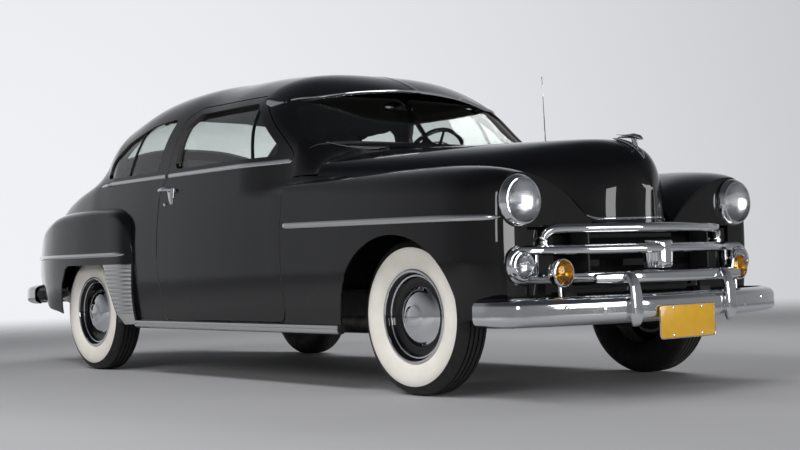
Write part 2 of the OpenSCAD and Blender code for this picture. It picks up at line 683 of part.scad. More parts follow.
// Bright shields on the front of the rear fenders, set back a little from the arch's edge
shield_margin = 6;
module stone_guards() {
    color("silver") panel() both() intersection() {
        difference() {
            rear_fender_solid(-5);
            rear_fender_solid(-seat_gap);
        }
        through_side(600) difference() {
            rounded(14) polygon([
                [rear_fender_front - 6, sill_z - 20], [rear_fender_front - 6, belt_z - 460],
                [along(0.10), belt_z - 460], [along(0.16), sill_z + 20], [along(0.195), sill_z - 20]]);
            offset(delta = shield_margin) rear_arch();
        }
    }
}

// Bumper bar bowed in plan: a wide arc with a tight arc at each end
// The bar's face section, as distance from the face and height, then the path it is swept along
function bar_section(h, depth) = [
    [-depth, -h / 2 + 6], [-depth * 0.35, -h / 2], [-6, -h / 2 + 9], [0, -h / 5],
    [0, h / 5], [-6, h / 2 - 9], [-depth * 0.35, h / 2], [-depth, h / 2 - 6],
    [-depth, h / 2 - 16], [-depth * 0.4, h / 2 - 12], [-16, h / 4],
    [-16, -h / 4], [-depth * 0.4, -h / 2 + 12], [-depth, -h / 2 + 16]];
function bow_at(face_x, bow_r, corner_r, turn, a) = let (
    over = abs(a) > turn, r = over ? corner_r : bow_r,
    cx = face_x - bow_r + (over ? (bow_r - corner_r) * cos(turn) : 0),
    cy = over ? sign(a) * (bow_r - corner_r) * sin(turn) : 0)
    [cx + r * cos(a), cy + r * sin(a)];
module bowed_bar(face_x, z, bow_r, half_chord, corner_r, wrap, section) {
    turn = asin(half_chord / bow_r);
    ends = [for (k = [5 : -1 : 1]) turn + (90 - turn) * k / 5];
    stops = [[-90, wrap], each [for (a = ends) [-a, 0]], each [for (k = [-4 : 4]) [turn * k / 4, 0]],
             each [for (k = [len(ends) - 1 : -1 : 0]) [ends[k], 0]], [90, wrap]];
    loft([for (s = stops) let (a = s[0], p = bow_at(face_x, bow_r, corner_r, turn, a))
        [for (q = section) [p[0] + q[0] * cos(a) - s[1], p[1] + q[0] * sin(a), z + q[1]]]]);
}
bumper_face_x = front_x - 6;
bumper_depth = 42;
guard_top = front_bumper_z + 146;
over_rider_r = 2300;
over_rider_half = 505;
module over_rider() {
    a = asin(over_rider_half / over_rider_r);
    loft([for (k = [-5 : 5]) let (t = a * k / 5) [
        for (q = [[-36, -24], [-10, -24], [0, -8], [0, 8], [-10, 24], [-36, 24]])
            [bumper_face_x - 22 - over_rider_r + (over_rider_r + q[0]) * cos(t), (over_rider_r + q[0]) * sin(t),
             guard_top - 30 + q[1]]]]);
}
module front_bumper() {
    color("silver") panel() union() {
        bowed_bar(bumper_face_x, front_bumper_z, 3092, 780, 160, 56, bar_section(bumper_h, bumper_depth));
        for (s = [RIGHT, LEFT]) translate([0, s * guard_y, 0]) {
            translate([bumper_face_x - 14, 34, 0]) rotate([90, 0, 0]) linear_extrude(68)
                polygon([[-2, front_bumper_z - bumper_h / 2 - 12], [14, front_bumper_z - bumper_h / 2 + 6],
                         [18, front_bumper_z], [12, front_bumper_z + bumper_h / 2 + 20],
                         [-8, guard_top], [-48, guard_top], [-48, guard_top - 44], [-20, front_bumper_z + 40],
                         [-20, front_bumper_z - 40]]);
        }
        for (s = [RIGHT, LEFT]) translate([chassis_front, s * rail_y - 25, front_bumper_z - 20])
            cube([bumper_face_x - 40 - chassis_front, 50, 40]);
        over_rider();
    }
}
module rear_bumper() {
    color("silver") panel() rotate([0, 0, 180]) {
        bowed_bar(front_x - 3, rear_bumper_z, 2400, 620, 260, 60, bar_section(bumper_h, bumper_depth));
        for (s = [RIGHT, LEFT]) translate([front_x - 34, s * guard_y + 30, 0]) rotate([90, 0, 0]) linear_extrude(60)
            polygon([[0, rear_bumper_z - bumper_h / 2 - 10], [24, rear_bumper_z - bumper_h / 2],
                     [26, rear_bumper_z + bumper_h / 2], [12, rear_bumper_z + bumper_h / 2 + 60],
                     [-12, rear_bumper_z + bumper_h / 2 + 60], [-4, rear_bumper_z]]);
        for (s = [RIGHT, LEFT]) translate([-chassis_rear, s * rail_y - 25, rail_low + kick - 20])
            cube([front_x - 54 + chassis_rear, 50, 40]);
    }
}
plate_w = 355;
plate_h = 140;
module licence_plate() {
    t = front_x - bumper_face_x - seat_gap;
    color("gold") translate([bumper_face_x + seat_gap, -plate_w / 2, front_bumper_z - 132]) {
        cube([t - 2, plate_w, plate_h]);
        translate([0, 4, 0]) cube([t, plate_w - 8, 6]);
        translate([0, 4, plate_h - 6]) cube([t, plate_w - 8, 6]);
    }
}

// Front panel behind the grille, and the bowed bright bars
front_panel_x = fender_front_x - 12;
module front_panel() {
    y = body_half_w - 244 - seat_gap;
    foot = sill_z + 70;
    color("black") difference() {
        translate([front_panel_x, -y, foot]) cube([10, 2 * y, tyre_r * 2 + 12 - foot]);
        for (k = [0 : 3]) translate([front_panel_x - 5, -y + 260, sill_z + 140 + k * 60])
            cube([30, 2 * y - 520, 32]);
        for (s = [RIGHT, LEFT]) translate([front_panel_x - 5, s * rail_y - rail_w / 2 - seat_gap, foot - 5])
            cube([30, rail_w + 2 * seat_gap, floor_z - foot + 5 + seat_gap]);
    }
}
module bow(z, face_x, bow_r, half_chord) {
    a = asin(half_chord / bow_r);
    translate([face_x - bow_r, 0, z]) rotate([0, 0, -a])
        rotate_extrude(angle = 2 * a, $fn = 160) translate([bow_r, 0]) children();
}
module grille() {
    stay = front_panel_x + 10;
    color("silver") {
        difference() {
            union() {
                bow(belt_z - 385, nose(0.845), 1010, 520) circle(20);
                bow(belt_z - 470, nose(0.875), 1145, 612)
                    polygon([[-30, -16], [-6, -18], [4, -4], [0, 12], [-14, 20], [-30, 16]]);
                bow(belt_z - 582, nose(0.875), 1145, 612)
                    polygon([[-30, -16], [-14, -20], [0, -12], [4, 4], [-6, 18], [-30, 16]]);
                for (y = [-380, 380]) translate([stay, y - 4, belt_z - 590]) cube([118, 8, 208]);
                translate([stay, -60, belt_z - 590]) cube([nose(0.875) - stay - 20, 120, 10]);
                translate([nose(0.875) - 60, -4, belt_z - 590]) cube([30, 8, 222]);
                translate([nose(0.875) - 34, -95, belt_z - 560]) cube([44, 190, 118]);
            }
            span(-far, stay);
        }
    }
}

// Lamps: revolved about an axis that points forward
module forward(x, y, z) { translate([x, y, z]) rotate([0, 90, 0]) children(); }
headlamp_x = fender_front_x + seat_gap;
module headlamp_rings() {
    color("silver") for (s = [RIGHT, LEFT]) forward(headlamp_x, s * headlamp_y, headlamp_z)
        rotate_extrude() polygon([[headlamp_r - 20, 0], [headlamp_r - 2, 0], [headlamp_r, 14],
            [headlamp_r - 4, 30], [headlamp_r - 12, 40], [headlamp_r - 20, 38]]);
}
module headlamp_lenses() {
    r = headlamp_r - 20 - seat_gap;
    color("white") for (s = [RIGHT, LEFT]) forward(headlamp_x, s * headlamp_y, headlamp_z)
        rotate_extrude() polygon([[0, 0], [r, 0], [r, 30], for (a = [10 : 10 : 90]) [r * cos(a), 30 + 22 * sin(a)]]);
}
parking_x = fender_front_x + seat_gap;
parking_r = 68;
module parking_lamps() {
    color("silver") for (s = [RIGHT, LEFT]) forward(parking_x, s * parking_y, parking_z)
        rotate_extrude() polygon([[0, 0], [parking_r, 0], [parking_r, 16], [parking_r - 12, 28],
            [parking_r - 22, 28], for (a = [30 : 15 : 90]) [(parking_r - 22) * cos(a), 22 + 20 * sin(a)]]);
}
fog_y = 560;
fog_z = front_bumper_z + 152;
fog_r = 58;
module fog_lamps() {
    x = nose(0.727);
    post = front_bumper_z + bumper_h / 2 - 16;
    color("silver") for (s = [RIGHT, LEFT]) {
        forward(x, s * fog_y, fog_z) rotate_extrude()
            polygon([[0, 0], [24, 4], [44, 16], [fog_r - 4, 40], [fog_r, 62], [fog_r - 4, 72], [0, 84]]);
        translate([x + 44, s * fog_y, post]) cylinder(r = 9, h = fog_z - post - 30);
        translate([x + 30, s * fog_y - 20, post]) cube([bumper_face_x - bumper_depth - 56.5 - x - 30, 40, 8]);
    }
}
module tail_lamps() {
    color("red") for (s = [RIGHT, LEFT])
        translate([tail(0.872) - seat_gap, s * (rear_fender_half_w - 372), belt_z - 470]) rotate([0, -90, 0])
            rotate_extrude() polygon([[0, 0], [40, 0], [42, 12], [34, 26], [0, 34]]);
}

// Wipers on the cowl, aerial on its left side
module wipers() {
    color("silver") panel() both() intersection() {
        difference() { body_solid(-16, along(0.62)); body_solid(-seat_gap, along(0.62)); }
        union() {
            hull() {
                translate([along(0.752), -330, belt_z]) cylinder(r = 9, h = 300);
                translate([along(0.722), -640, belt_z]) cylinder(r = 4, h = 300);
            }
            translate([along(0.756), -330, belt_z]) cylinder(r = 14, h = 300);
        }
        above(belt_z + 20);
    }
}
aerial_r = 2.5;
module aerial() {
    color("silver") panel() difference() {
        translate([along(0.762), body_half_w - 136, belt_z]) rotate([0, -2, 0]) {
            cylinder(r = 12, h = 52, $fn = 24);
            cylinder(r = aerial_r, h = 480, $fn = 12);
        }
        body_solid(-seat_gap, along(0.6));
    }
}

// Inside
dash_half_w = body_half_w - 190;
module dashboard() {
    depth = firewall_x - along(0.663);
    color("dimgray") difference() {
        translate([along(0.663), dash_half_w, belt_z - 150]) rotate([90, 0, 0]) linear_extrude(2 * dash_half_w)
            polygon([[0, 0], [-12, 90], [6, 150], [60, 174], [depth, 174], [depth, 0]]);
        translate(wheel_hub) rotate([0, column_tilt, 0]) cylinder(r = column_r + seat_gap, h = 600);
    }
}
column_tilt = 120;
wheel_hub = [along(0.600), 370, belt_z + 20];
column_r = 22;
module steering_column() {
    color("black") translate(wheel_hub) rotate([0, column_tilt, 0]) translate([0, 0, 12])
        cylinder(r = column_r, h = 395);
}
module steering_wheel() {
    rim = 205;
    color("black") translate(wheel_hub) rotate([0, column_tilt, 0]) {
        rotate_extrude($fn = 64) translate([rim, -30]) circle(12);
        for (a = [0 : 120 : 240]) rotate([0, 0, a]) translate([0, -9, -30]) rotate([0, 90, 0])
            translate([-4, 0, 0]) cube([10, 18, rim - 8]);
        translate([0, 0, -36]) cylinder(r = 40, h = 36);
        translate([0, 0, -4]) cylinder(r = 14, h = 16 - seat_gap);
    }
}
// Bench seats: cushion and back drawn from the side
module bench(x, half_w, outline) {
    color("gray") translate([x, half_w, floor_z + floor_t]) rotate([90, 0, 0]) linear_extrude(2 * half_w)
        rounded(30) polygon(outline);
}
module front_seat() {
    bench(along(0.3735), 640, [[-60, 0], [450, 0], [480, 150], [440, 215], [110, 190],
        [-20, 560], [-130, 560], [-140, 470]]);
}
module rear_seat() {
    bench(along(0.1475), 560, [[-90, 0], [370, 0], [390, 150], [350, 205], [100, 185],
        [-60, 540], [-180, 540], [-90, 135]]);
}

// Ladder chassis
rail_y = 430;
rail_w = 70;
rail_low = floor_z - 110;
kick = 150;
chassis_front = nose(0.70);
chassis_rear = tail(0.82);
module chassis_frame() {
    color("black") {
        for (s = [RIGHT, LEFT]) translate([0, s * rail_y + rail_w / 2, 0]) rotate([90, 0, 0]) linear_extrude(rail_w)
            polygon([[chassis_rear, rail_low + kick - 20], [chassis_rear, rail_low + kick + 70],
                     [along(0.05), rail_low + kick + 70], [along(0.11), floor_z], [chassis_front, floor_z],
                     [chassis_front, rail_low], [along(0.10), rail_low], [along(0.04), rail_low + kick - 20]]);
        for (x = [along(0.25), along(0.52)])
            translate([x, -rail_y, rail_low + 20]) cube([80, 2 * rail_y, 60]);
        translate([chassis_front - 150, -rail_y, rail_low + 20]) cube([60, 2 * rail_y, 60]);
        translate([chassis_rear + 40, -rail_y, rail_low + kick]) cube([60, 2 * rail_y, 50]);
    }
}
module floor_pan() {
    y = body_half_w - 112;
    back = along(0.113);
    color("dimgray") {
        translate([back, -500, floor_z]) cube([along(0.22) - back, 1000, floor_t]);
        translate([along(0.20), -y, floor_z]) cube([along(0.79) - along(0.20), 2 * y, floor_t]);
        for (s = [RIGHT, LEFT]) translate([along(0.20), s * (y - 30) - 30, sill_z + 8])
            cube([along(0.77) - along(0.20), 60, floor_z - sill_z - 7]);
        translate([back - 7, -500, floor_z + 3]) cube([8, 1000, rail_low + kick + 75 - floor_z]);
        translate([tail(0.78), -500, rail_low + kick + 70]) cube([back - tail(0.78), 1000, floor_t]);
    }
}
module engine() {
    foot = rail_low + seat_gap;
    color("dimgray") {
        translate([along(0.80), -150, foot]) cube([nose(0.30) - along(0.80), 300, 400]);
        translate([along(0.82), -110, foot + 390]) cube([nose(0.22) - along(0.82), 220, 160]);
        translate([along(0.60), -110, foot]) cube([along(0.81) - along(0.60), 220, 100]);
    }
}
module exhaust() {
    z = rail_low - 70;
    color("gray") {
        translate([along(0.30), 250, z]) rotate([0, 90, 0]) cylinder(r = 70, h = 620);
        translate([tail(0.95), 250, z]) rotate([0, 90, 0]) cylinder(r = 24, h = along(0.30) - tail(0.95) + 1);
        translate([along(0.51), 250, z]) rotate([0, 90, 0]) cylinder(r = 24, h = along(0.84) - along(0.51));
        translate([along(0.25) + 20, 220, z]) cube([30, 60, 90]);
    }
}
module fuel_tank() {
    color("gray") translate([tail(0.72), -360, rail_low + 30]) cube([360, 720, 190 - seat_gap]);
}

// Axles
module front_axle() {
    inner = front_track / 2 - kingpin_offset;
    color("black") {
        translate([axle_f - 60, -rail_y - rail_w / 2 + 1, rail_low - 40]) cube([120, 2 * rail_y + rail_w - 2, 40]);
        for (s = [RIGHT, LEFT]) mirror([0, s == RIGHT ? 1 : 0, 0]) {
            for (z = [tyre_r - 98, tyre_r + 70]) hull() {
                translate([axle_f, inner, z]) cylinder(r = 24, h = 24, $fn = 32);
                translate([axle_f - 110, rail_y + rail_w / 2 + 20, z]) cylinder(r = 16, h = 24, $fn = 32);
                translate([axle_f + 110, rail_y + rail_w / 2 + 20, z]) cylinder(r = 16, h = 24, $fn = 32);
            }
            translate([axle_f - 60, rail_y + rail_w / 2, tyre_r - 98]) cube([120, 30, 192]);
        }
    }
}
module knuckle(side) {
    inner = front_track / 2 - kingpin_offset;
    low = tyre_r - 74 + seat_gap;
    color("dimgray") mirrored(side) translate([0, -inner, 0]) {
        translate([axle_f, 0, low]) cylinder(r = 20, h = 144 - 2 * seat_gap);
        translate([axle_f, 0, tyre_r]) rotate([90, 0, 0]) {
            cylinder(r = spindle_r, h = kingpin_offset + 30);
            translate([0, 0, -14]) cylinder(r = 34, h = 28);
            translate([0, 0, 14]) cylinder(r = 62, h = 10);
        }
    }
}
module rear_axle() {
    half = rear_track / 2;
    color("black") {
        translate([axle_r, half + 30, tyre_r]) rotate([90, 0, 0]) cylinder(r = spindle_r, h = 2 * half + 60);
        translate([axle_r, half - 80, tyre_r]) rotate([90, 0, 0]) cylinder(r = 40, h = 2 * half - 160);
        translate([axle_r, 80, tyre_r]) rotate([90, 0, 0]) cylinder(r = 125, h = 160);
        for (s = [RIGHT, LEFT]) mirror([0, s == RIGHT ? 1 : 0, 0]) {
            translate([axle_r, half - 80, tyre_r]) rotate([-90, 0, 0]) cylinder(r = 120, h = 24);
            translate([axle_r - 600, rail_y + 40, tyre_r + 30]) cube([1200, 60, 28]);
            translate([axle_r - 590, rail_y + rail_w / 2, tyre_r + 30]) cube([30, 60, rail_low + kick + 40 - tyre_r - 30]);
            translate([axle_r + 560, rail_y + rail_w / 2, tyre_r + 30]) cube([30, 60, floor_z - 10 - tyre_r - 30]);
        }
    }
}

// Wheels turn about Y, and are drawn with their outer face towards -Y
module spun(x, y, side) {
    translate([x, y, tyre_r]) mirrored(side) rotate([90, 0, 0]) rotate_extrude($fn = 96) children();
}
module wheel_profile() {
    polygon([
        [spindle_r + running_gap, -40], [80, -40], [80, -10], [132, 2], [rim_r - 24, -8],
        [rim_r - 22, -56], [rim_r - 10, -64], [rim_r + 6, -70], [rim_r + 10, -66], [rim_r, -57], [rim_r - 14, -50], [rim_r - 14, 46],
        [rim_r, 54], [rim_r + 10, 62], [rim_r + 6, 66], [rim_r - 10, 60], [rim_r - 22, 52],
        [rim_r - 26, 16], [cap_r + 6, 20], [cap_r, 30],
        for (a = [15 : 15 : 75]) [cap_r * cos(a) + 0, 30 + 32 * sin(a)],
        [0, 62], [0, 44], [spindle_r + running_gap, 40]]);
}
module tyre_profile() {
    h = tyre_w / 2;
    polygon([
        [rim_r + 0.3, -54], [rim_r + 0.3, 53.7], [rim_r + 20, 68], [rim_r + 60, h - 2], [rim_r + 85, h],
        [tyre_r - 40, h - 6], [tyre_r - 20, h - 14], [tyre_r - 5, h - 26], [tyre_r, h - 42],
        [tyre_r, -h + 42], [tyre_r - 5, -h + 26], [tyre_r - 20, -h + 14], [tyre_r - 40, -h + 6],
        [rim_r + 85, -h], [rim_r + 60, -h + 2], [rim_r + 20, -68]]);
}
module wheel(x, y, side) { color("silver") spun(x, y, side) wheel_profile(); }
module tyre(x, y, side) { color("black") spun(x, y, side) tyre_profile(); }

chassis_frame();
floor_pan();
cowl();
roof();
quarter(RIGHT);  // quarter_right
quarter(LEFT);  // quarter_left
front_fender(RIGHT);  // front_fender_right
front_fender(LEFT);  // front_fender_left
rear_fender(RIGHT);  // rear_fender_right
rear_fender(LEFT);  // rear_fender_left
front_panel();
grille();
front_bumper();
rear_bumper();
licence_plate();
headlamp_rings();
headlamp_lenses();
parking_lamps();
fog_lamps();
tail_lamps();
windscreen();
quarter_glass();
rear_window();
sun_visor();
body_mouldings();
stone_guards();
wipers();
aerial();
dashboard();
steering_column();
steering_wheel();
front_seat();
rear_seat();
engine();
front_axle();
rear_axle();
exhaust();
fuel_tank();
door(RIGHT);  // door_right
door(LEFT);  // door_left
door_glass(RIGHT);  // door_glass_right
door_glass(LEFT);  // door_glass_left
door_fittings(RIGHT);  // door_fittings_right
door_fittings(LEFT);  // door_fittings_left
bonnet();
bonnet_ornament();
boot_lid();
knuckle(RIGHT);  // knuckle_right
knuckle(LEFT);  // knuckle_left
wheel(axle_f, -front_track / 2, RIGHT);  // wheel_front_right
wheel(axle_f, front_track / 2, LEFT);  // wheel_front_left
wheel(axle_r, -rear_track / 2, RIGHT);  // wheel_rear_right
wheel(axle_r, rear_track / 2, LEFT);  // wheel_rear_left
tyre(axle_f, -front_track / 2, RIGHT);  // tyre_front_right
tyre(axle_f, front_track / 2, LEFT);  // tyre_front_left
tyre(axle_r, -rear_track / 2, RIGHT);  // tyre_rear_right
tyre(axle_r, rear_track / 2, LEFT);  // tyre_rear_left
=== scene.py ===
# Classic two-door fastback saloon: panels, bright work, glass, wheels and cabin as they look.
import math
import bpy
import numpy as np
from mathutils import Matrix, Vector


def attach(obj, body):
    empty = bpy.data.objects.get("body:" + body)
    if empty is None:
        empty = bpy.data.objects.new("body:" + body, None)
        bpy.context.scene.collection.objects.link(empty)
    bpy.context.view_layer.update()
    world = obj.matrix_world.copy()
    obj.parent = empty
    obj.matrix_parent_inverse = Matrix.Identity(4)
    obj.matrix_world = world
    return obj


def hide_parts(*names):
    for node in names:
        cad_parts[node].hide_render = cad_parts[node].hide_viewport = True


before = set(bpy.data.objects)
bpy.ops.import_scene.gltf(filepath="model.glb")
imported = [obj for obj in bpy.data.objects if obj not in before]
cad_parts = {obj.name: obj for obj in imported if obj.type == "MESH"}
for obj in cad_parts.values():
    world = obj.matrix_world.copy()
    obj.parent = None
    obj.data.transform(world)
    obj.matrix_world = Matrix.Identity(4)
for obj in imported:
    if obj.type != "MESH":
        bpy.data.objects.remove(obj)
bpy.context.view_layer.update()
MM = 0.001
scene = bpy.context.scene
scene.view_settings.view_transform = "Standard"

# Places along the car, in millimetres from the middle of its length
FRONT_X = 2493.0
LENGTH = 4986.0
WHEELBASE = 2921.0
FRONT_OVERHANG = 853.0
AXLE_F = FRONT_X - FRONT_OVERHANG
AXLE_R = AXLE_F - WHEELBASE
REAR_OVERHANG = LENGTH - WHEELBASE - FRONT_OVERHANG
BODY_W = 884.0
FENDER_W = 904.0
REAR_FENDER_W = 922.0
BELT = 1073.0
ROOF = 1598.0
SILL = 300.0
BONNET_TOP = 1107.0
TYRE_R = 338.0
LAMP_Y = 682.0
LAMP_Z = 806.0
PANEL_GAP = 6.0
GLASS_GAP = 0.4
ARCH_HALF = 402.0
SIDES = (("right", -1), ("left", 1))
# How a side's section runs: its widest line, how far it draws in, the lean of the roof, and its points
WIDEST_SHARE = 0.42
SILL_TUCK = 28.0
BELT_TUCK = 40.0
ROOF_LEAN = 0.12
SIDE_POINTS = 38
ROOF_POINTS = 52
# How far the doors' fronts draw in above a line below the belt, to meet the front fenders
SHELF_DEPTH = 55.0
SHELF_BELOW_BELT = 168.0
SHELF_EASE = 63.0
# Fenders and bonnet: roundness of the shoulder, draw of the rear side, turned edges and points
FENDER_ROUND = 0.85
FENDER_SIDE_POINTS = 34
FENDER_TOP_POINTS = 46
REAR_SILL_TUCK = 22.0
REAR_TOP_TUCK = 10.0
REAR_FENDER_ROOT = 500.0
REAR_SIDE_POINTS = 30
REAR_TOP_POINTS = 44
BONNET_POINTS = 48
BONNET_TURN_DOWN = 18.0
FENDER_TURN_DOWN = 22.0
# A point inside the cabin, and places beyond the car's side and roof
CABIN = (0, 0, 900)
OUTSIDE = 1000.0
ABOVE = 3000.0
# Corner radii of the doors, windows and boot lid
DOOR_ROUND = 45.0
WINDOW_ROUND = 32.0
QUARTER_ROUND = 28.0
REAR_ROUND = 70.0
BOOT_ROUND = 60.0
# Bows of the front bumper, its upper rail and the grille's loop; the loop's ends go round the parking lamps
BUMPER_BOW = 2200.0
RIDER_BOW = 2300.0
LOOP_BOW = 1145.0
LOOP_BACK = 2214.0
LOOP_R = 56.0
LOOP_Z = 547.0
PARKING_Y = 690.0
RIB_PITCH = 23.3
# Seats: how far a pad may swell, the width of a pleat and the cushions' lean
SWELL_CAP = 24.0
PLEAT = 92.0
CUSHION_LEAN = -0.06
SHADER = "Principled BSDF"


def along(share):
    return AXLE_R + share * WHEELBASE


def tail(share):
    return AXLE_R - share * REAR_OVERHANG


def nose(share):
    return AXLE_F + share * FRONT_OVERHANG


DOOR_FRONT = along(0.7095)
DOOR_REAR = along(0.300)
SPLIT_X = DOOR_FRONT + PANEL_GAP / 2
COWL_END = along(0.767)
COWL_FLOW = along(0.715)
FENDER_FRONT = nose(0.657)
REAR_FENDER_FRONT = along(0.2045)


# A table's rows: a place along the car, then offsets from the base lines
def offsets(bases, rows):
    return [[row[0]] + [base + by for base, by in zip(bases, row[1:])] for row in rows]


# Body sections, tail to cowl: x, half width, bottom, belt, roof, roundness, shoulder beside the cabin
BODY = offsets((BODY_W, SILL, BELT, ROOF, 0, 0), [
    (tail(0.923), -480, 140, -430, -938, 2.2, 60),
    (tail(0.866), -384, 130, -345, -838, 2.2, 90),
    (tail(0.717), -246, 115, -215, -668, 2.2, 150),
    (tail(0.511), -154, 100, -122, -493, 2.3, 190),
    (tail(0.263), -86, 70, -54, -330, 2.5, 180),
    (along(0.000), -44, 30, -16, -176, 2.7, 80),
    (along(0.050), -36, 14, -3, -128, 2.8, 26),
    (along(0.096), -28, 5, 0, -92, 2.95, 0),
    (along(0.199), -16, 0, 0, -30, 3.3, 0),
    (along(0.302), -9, 0, 0, -2, 3.2, 0),
    (along(0.404), -3, 0, 0, 0, 2.8, 0),
    (along(0.507), 0, 0, 0, -8, 2.8, 0),
    (along(0.593), 1, 0, 0, -42, 3.0, 0),
    (along(0.630), 1, 0, 0, -88, 3.4, 0),
    (along(0.658), 1, 0, 0, -160, 4.0, 0),
    (along(0.686), 2, 0, 0, -253, 4.0, 0),
    (along(0.713), 2, 0, 0, -345, 4.0, 0),
    (along(0.741), 2, 0, 0, -438, 4.0, 0),
    (along(0.767), 3, 0, 0, -462, 3.0, 0)])
# Front fender sections: x, half width, bottom, shoulder, crown y, crown z, valley y, valley z
FENDER = [
    [SPLIT_X + 3, BODY_W + 2, SILL, BELT - 185, BODY_W - 36, BELT - 122, BODY_W - 77, BELT - 83],
    [along(0.776), BODY_W + 4, SILL, BELT - 195, BODY_W - 56, BELT - 116, BODY_W - 100, BELT - 86],
    [along(0.884), FENDER_W - 8, SILL, BELT - 220, LAMP_Y + 95, BELT - 104, BODY_W - 214, BELT - 110],
    [nose(0.000), FENDER_W, SILL, BELT - 243, LAMP_Y + 53, BELT - 100, BODY_W - 338, BELT - 141],
    [nose(0.305), FENDER_W - 2, SILL + 20, BELT - 263, LAMP_Y + 30, BELT - 104, BODY_W - 444, BELT - 175],
    [nose(0.481), FENDER_W - 12, SILL + 30, BELT - 273, LAMP_Y + 18, BELT - 116, BODY_W - 544, BELT - 222],
    [nose(0.563), FENDER_W - 32, SILL + 35, BELT - 278, LAMP_Y + 10, BELT - 126, BODY_W - 594, BELT - 283],
    [nose(0.622), FENDER_W - 76, SILL + 40, BELT - 283, LAMP_Y + 5, BELT - 136, BODY_W - 622, BELT - 333],
    [nose(0.657), FENDER_W - 130, SILL + 44, BELT - 288, LAMP_Y + 2, BELT - 150, BODY_W - 628, BELT - 352]]
# Rear fender sections: x, half width, bottom, shoulder, top
REAR_FENDER = offsets((REAR_FENDER_W, SILL, BELT, BELT), [
    (tail(0.872), -330, 170, -430, -360),
    (tail(0.800), -242, 158, -395, -300),
    (tail(0.717), -178, 146, -360, -250),
    (tail(0.552), -98, 110, -300, -190),
    (tail(0.428), -50, 62, -270, -160),
    (tail(0.263), -16, 40, -215, -136),
    (along(0.000), 0, -14, -195, -122),
    (along(0.120), -3, -14, -198, -126),
    (along(0.161), -5, -14, -212, -140),
    (along(0.184), -10, -14, -250, -172),
    (along(0.1965), -22, -14, -302, -226),
    (along(0.2005), -36, -14, -370, -300),
    (REAR_FENDER_FRONT, -50, -14, -450, -380)])
# Bonnet sections: x, half width at the edge, edge z, crown z, roundness
BONNET = offsets((BODY_W, BELT, BONNET_TOP, 0), [
    (COWL_END + PANEL_GAP, -106, -83, 30, 2.2),
    (along(0.884), -220, -105, 16, 2.2),
    (nose(0.000), -344, -136, 3, 2.2),
    (nose(0.305), -450, -170, -7, 2.3),
    (nose(0.481), -550, -217, -16, 2.4),
    (nose(0.563), -600, -278, -27, 2.4),
    (nose(0.622), -640, -336, -42, 2.4),
    (nose(0.680), -693, -341, -63, 2.4),
    (nose(0.740), -758, -341, -100, 2.4),
    (nose(0.780), -812, -341, -152, 2.4),
    (nose(0.797), -866, -341, -240, 2.4)])


# Curves through a table's columns, faired so that reflections run smoothly
def faired(table, soften):
    rows = np.array(table, float)
    step = 4.0
    xs = np.arange(rows[0, 0], rows[-1, 0] + step / 2, step)
    xs[-1] = rows[-1, 0]
    at = np.clip(np.searchsorted(rows[:, 0], xs, side="right") - 1, 0, len(rows) - 2)
    low = np.maximum(np.arange(len(rows)) - 1, 0)
    high = np.minimum(np.arange(len(rows)) + 1, len(rows) - 1)
    columns = [xs]
    for c in range(1, rows.shape[1]):
        v = rows[:, c]
        lean = (v[high] - v[low]) / (rows[high, 0] - rows[low, 0])
        h = rows[at + 1, 0] - rows[at, 0]
        t = (xs - rows[at, 0]) / h
        curve = (2 * t**3 - 3 * t**2 + 1) * v[at] + (t**3 - 2 * t**2 + t) * h * lean[at]
        curve += (3 * t**2 - 2 * t**3) * v[at + 1] + (t**3 - t**2) * h * lean[at + 1]
        reach = int(3 * soften / step)
        weight = np.exp(-0.5 * (np.arange(-reach, reach + 1) * step / soften) ** 2)
        before = 2 * curve[0] - curve[reach:0:-1]
        after = 2 * curve[-1] - curve[-2:-reach - 2:-1]
        columns.append(np.convolve(np.concatenate([before, curve, after]), weight / weight.sum(), "valid"))
    return np.array(columns)


BODY_CURVES = faired(BODY, 26.0)
FENDER_CURVES = faired(FENDER, 45.0)
REAR_FENDER_CURVES = faired(REAR_FENDER, 14.0)
BONNET_CURVES = faired(BONNET, 26.0)


def column(curves, c, x):
    return np.interp(x, curves[0], curves[c])


def ease(t):
    t = np.clip(t, 0.0, 1.0)
    return t * t * (3 - 2 * t)


# The values of some neighbouring columns at a place along the car
def columns_at(curves, first, last, x):
    return [column(curves, c, x) for c in range(first, last)]


# How far a side draws in below and above its widest line
def tuck(z, low, high):
    widest = low + WIDEST_SHARE * (high - low)
    under = SILL_TUCK * (np.maximum(0, widest - z) / (widest - low)) ** 2
    over = BELT_TUCK * (np.maximum(0, z - widest) / (high - widest)) ** 2
    return under + over


def side_half(x, z):
    w, zb, zt = columns_at(BODY_CURVES, 1, 4, x)
    start = along(0.575)
    forward = ease((x - start) / (along(0.72) - start))
    shelf = SHELF_DEPTH * forward * ease((z - BELT + SHELF_BELOW_BELT) / SHELF_EASE)
    return w - tuck(z, zb, zt) - shelf


# Half width of the body at any height, roof part included
def body_half_at(x, z):
    zt, zr, n, shoulder = columns_at(BODY_CURVES, 3, 7, x)
    rise = np.maximum(0, z - zt)
    share = np.clip(rise / (zr - zt), 0, 1) ** (n / 2)
    wide = side_half(x, zt) - np.maximum(0, shoulder)
    upper = (wide - ROOF_LEAN * rise) * np.sqrt(np.maximum(0, 1 - share**2)) ** (2 / n)
    return np.where(z <= zt, side_half(x, z), upper)


# A chain of points cut into even steps
def even_steps(points, count):
    points = np.asarray(points, float)
    run = np.concatenate([[0], np.cumsum(np.linalg.norm(np.diff(points, axis=0), axis=1))])
    at = np.linspace(0, run[-1], count)
    return np.column_stack([np.interp(at, run, points[:, k]) for k in range(points.shape[1])])


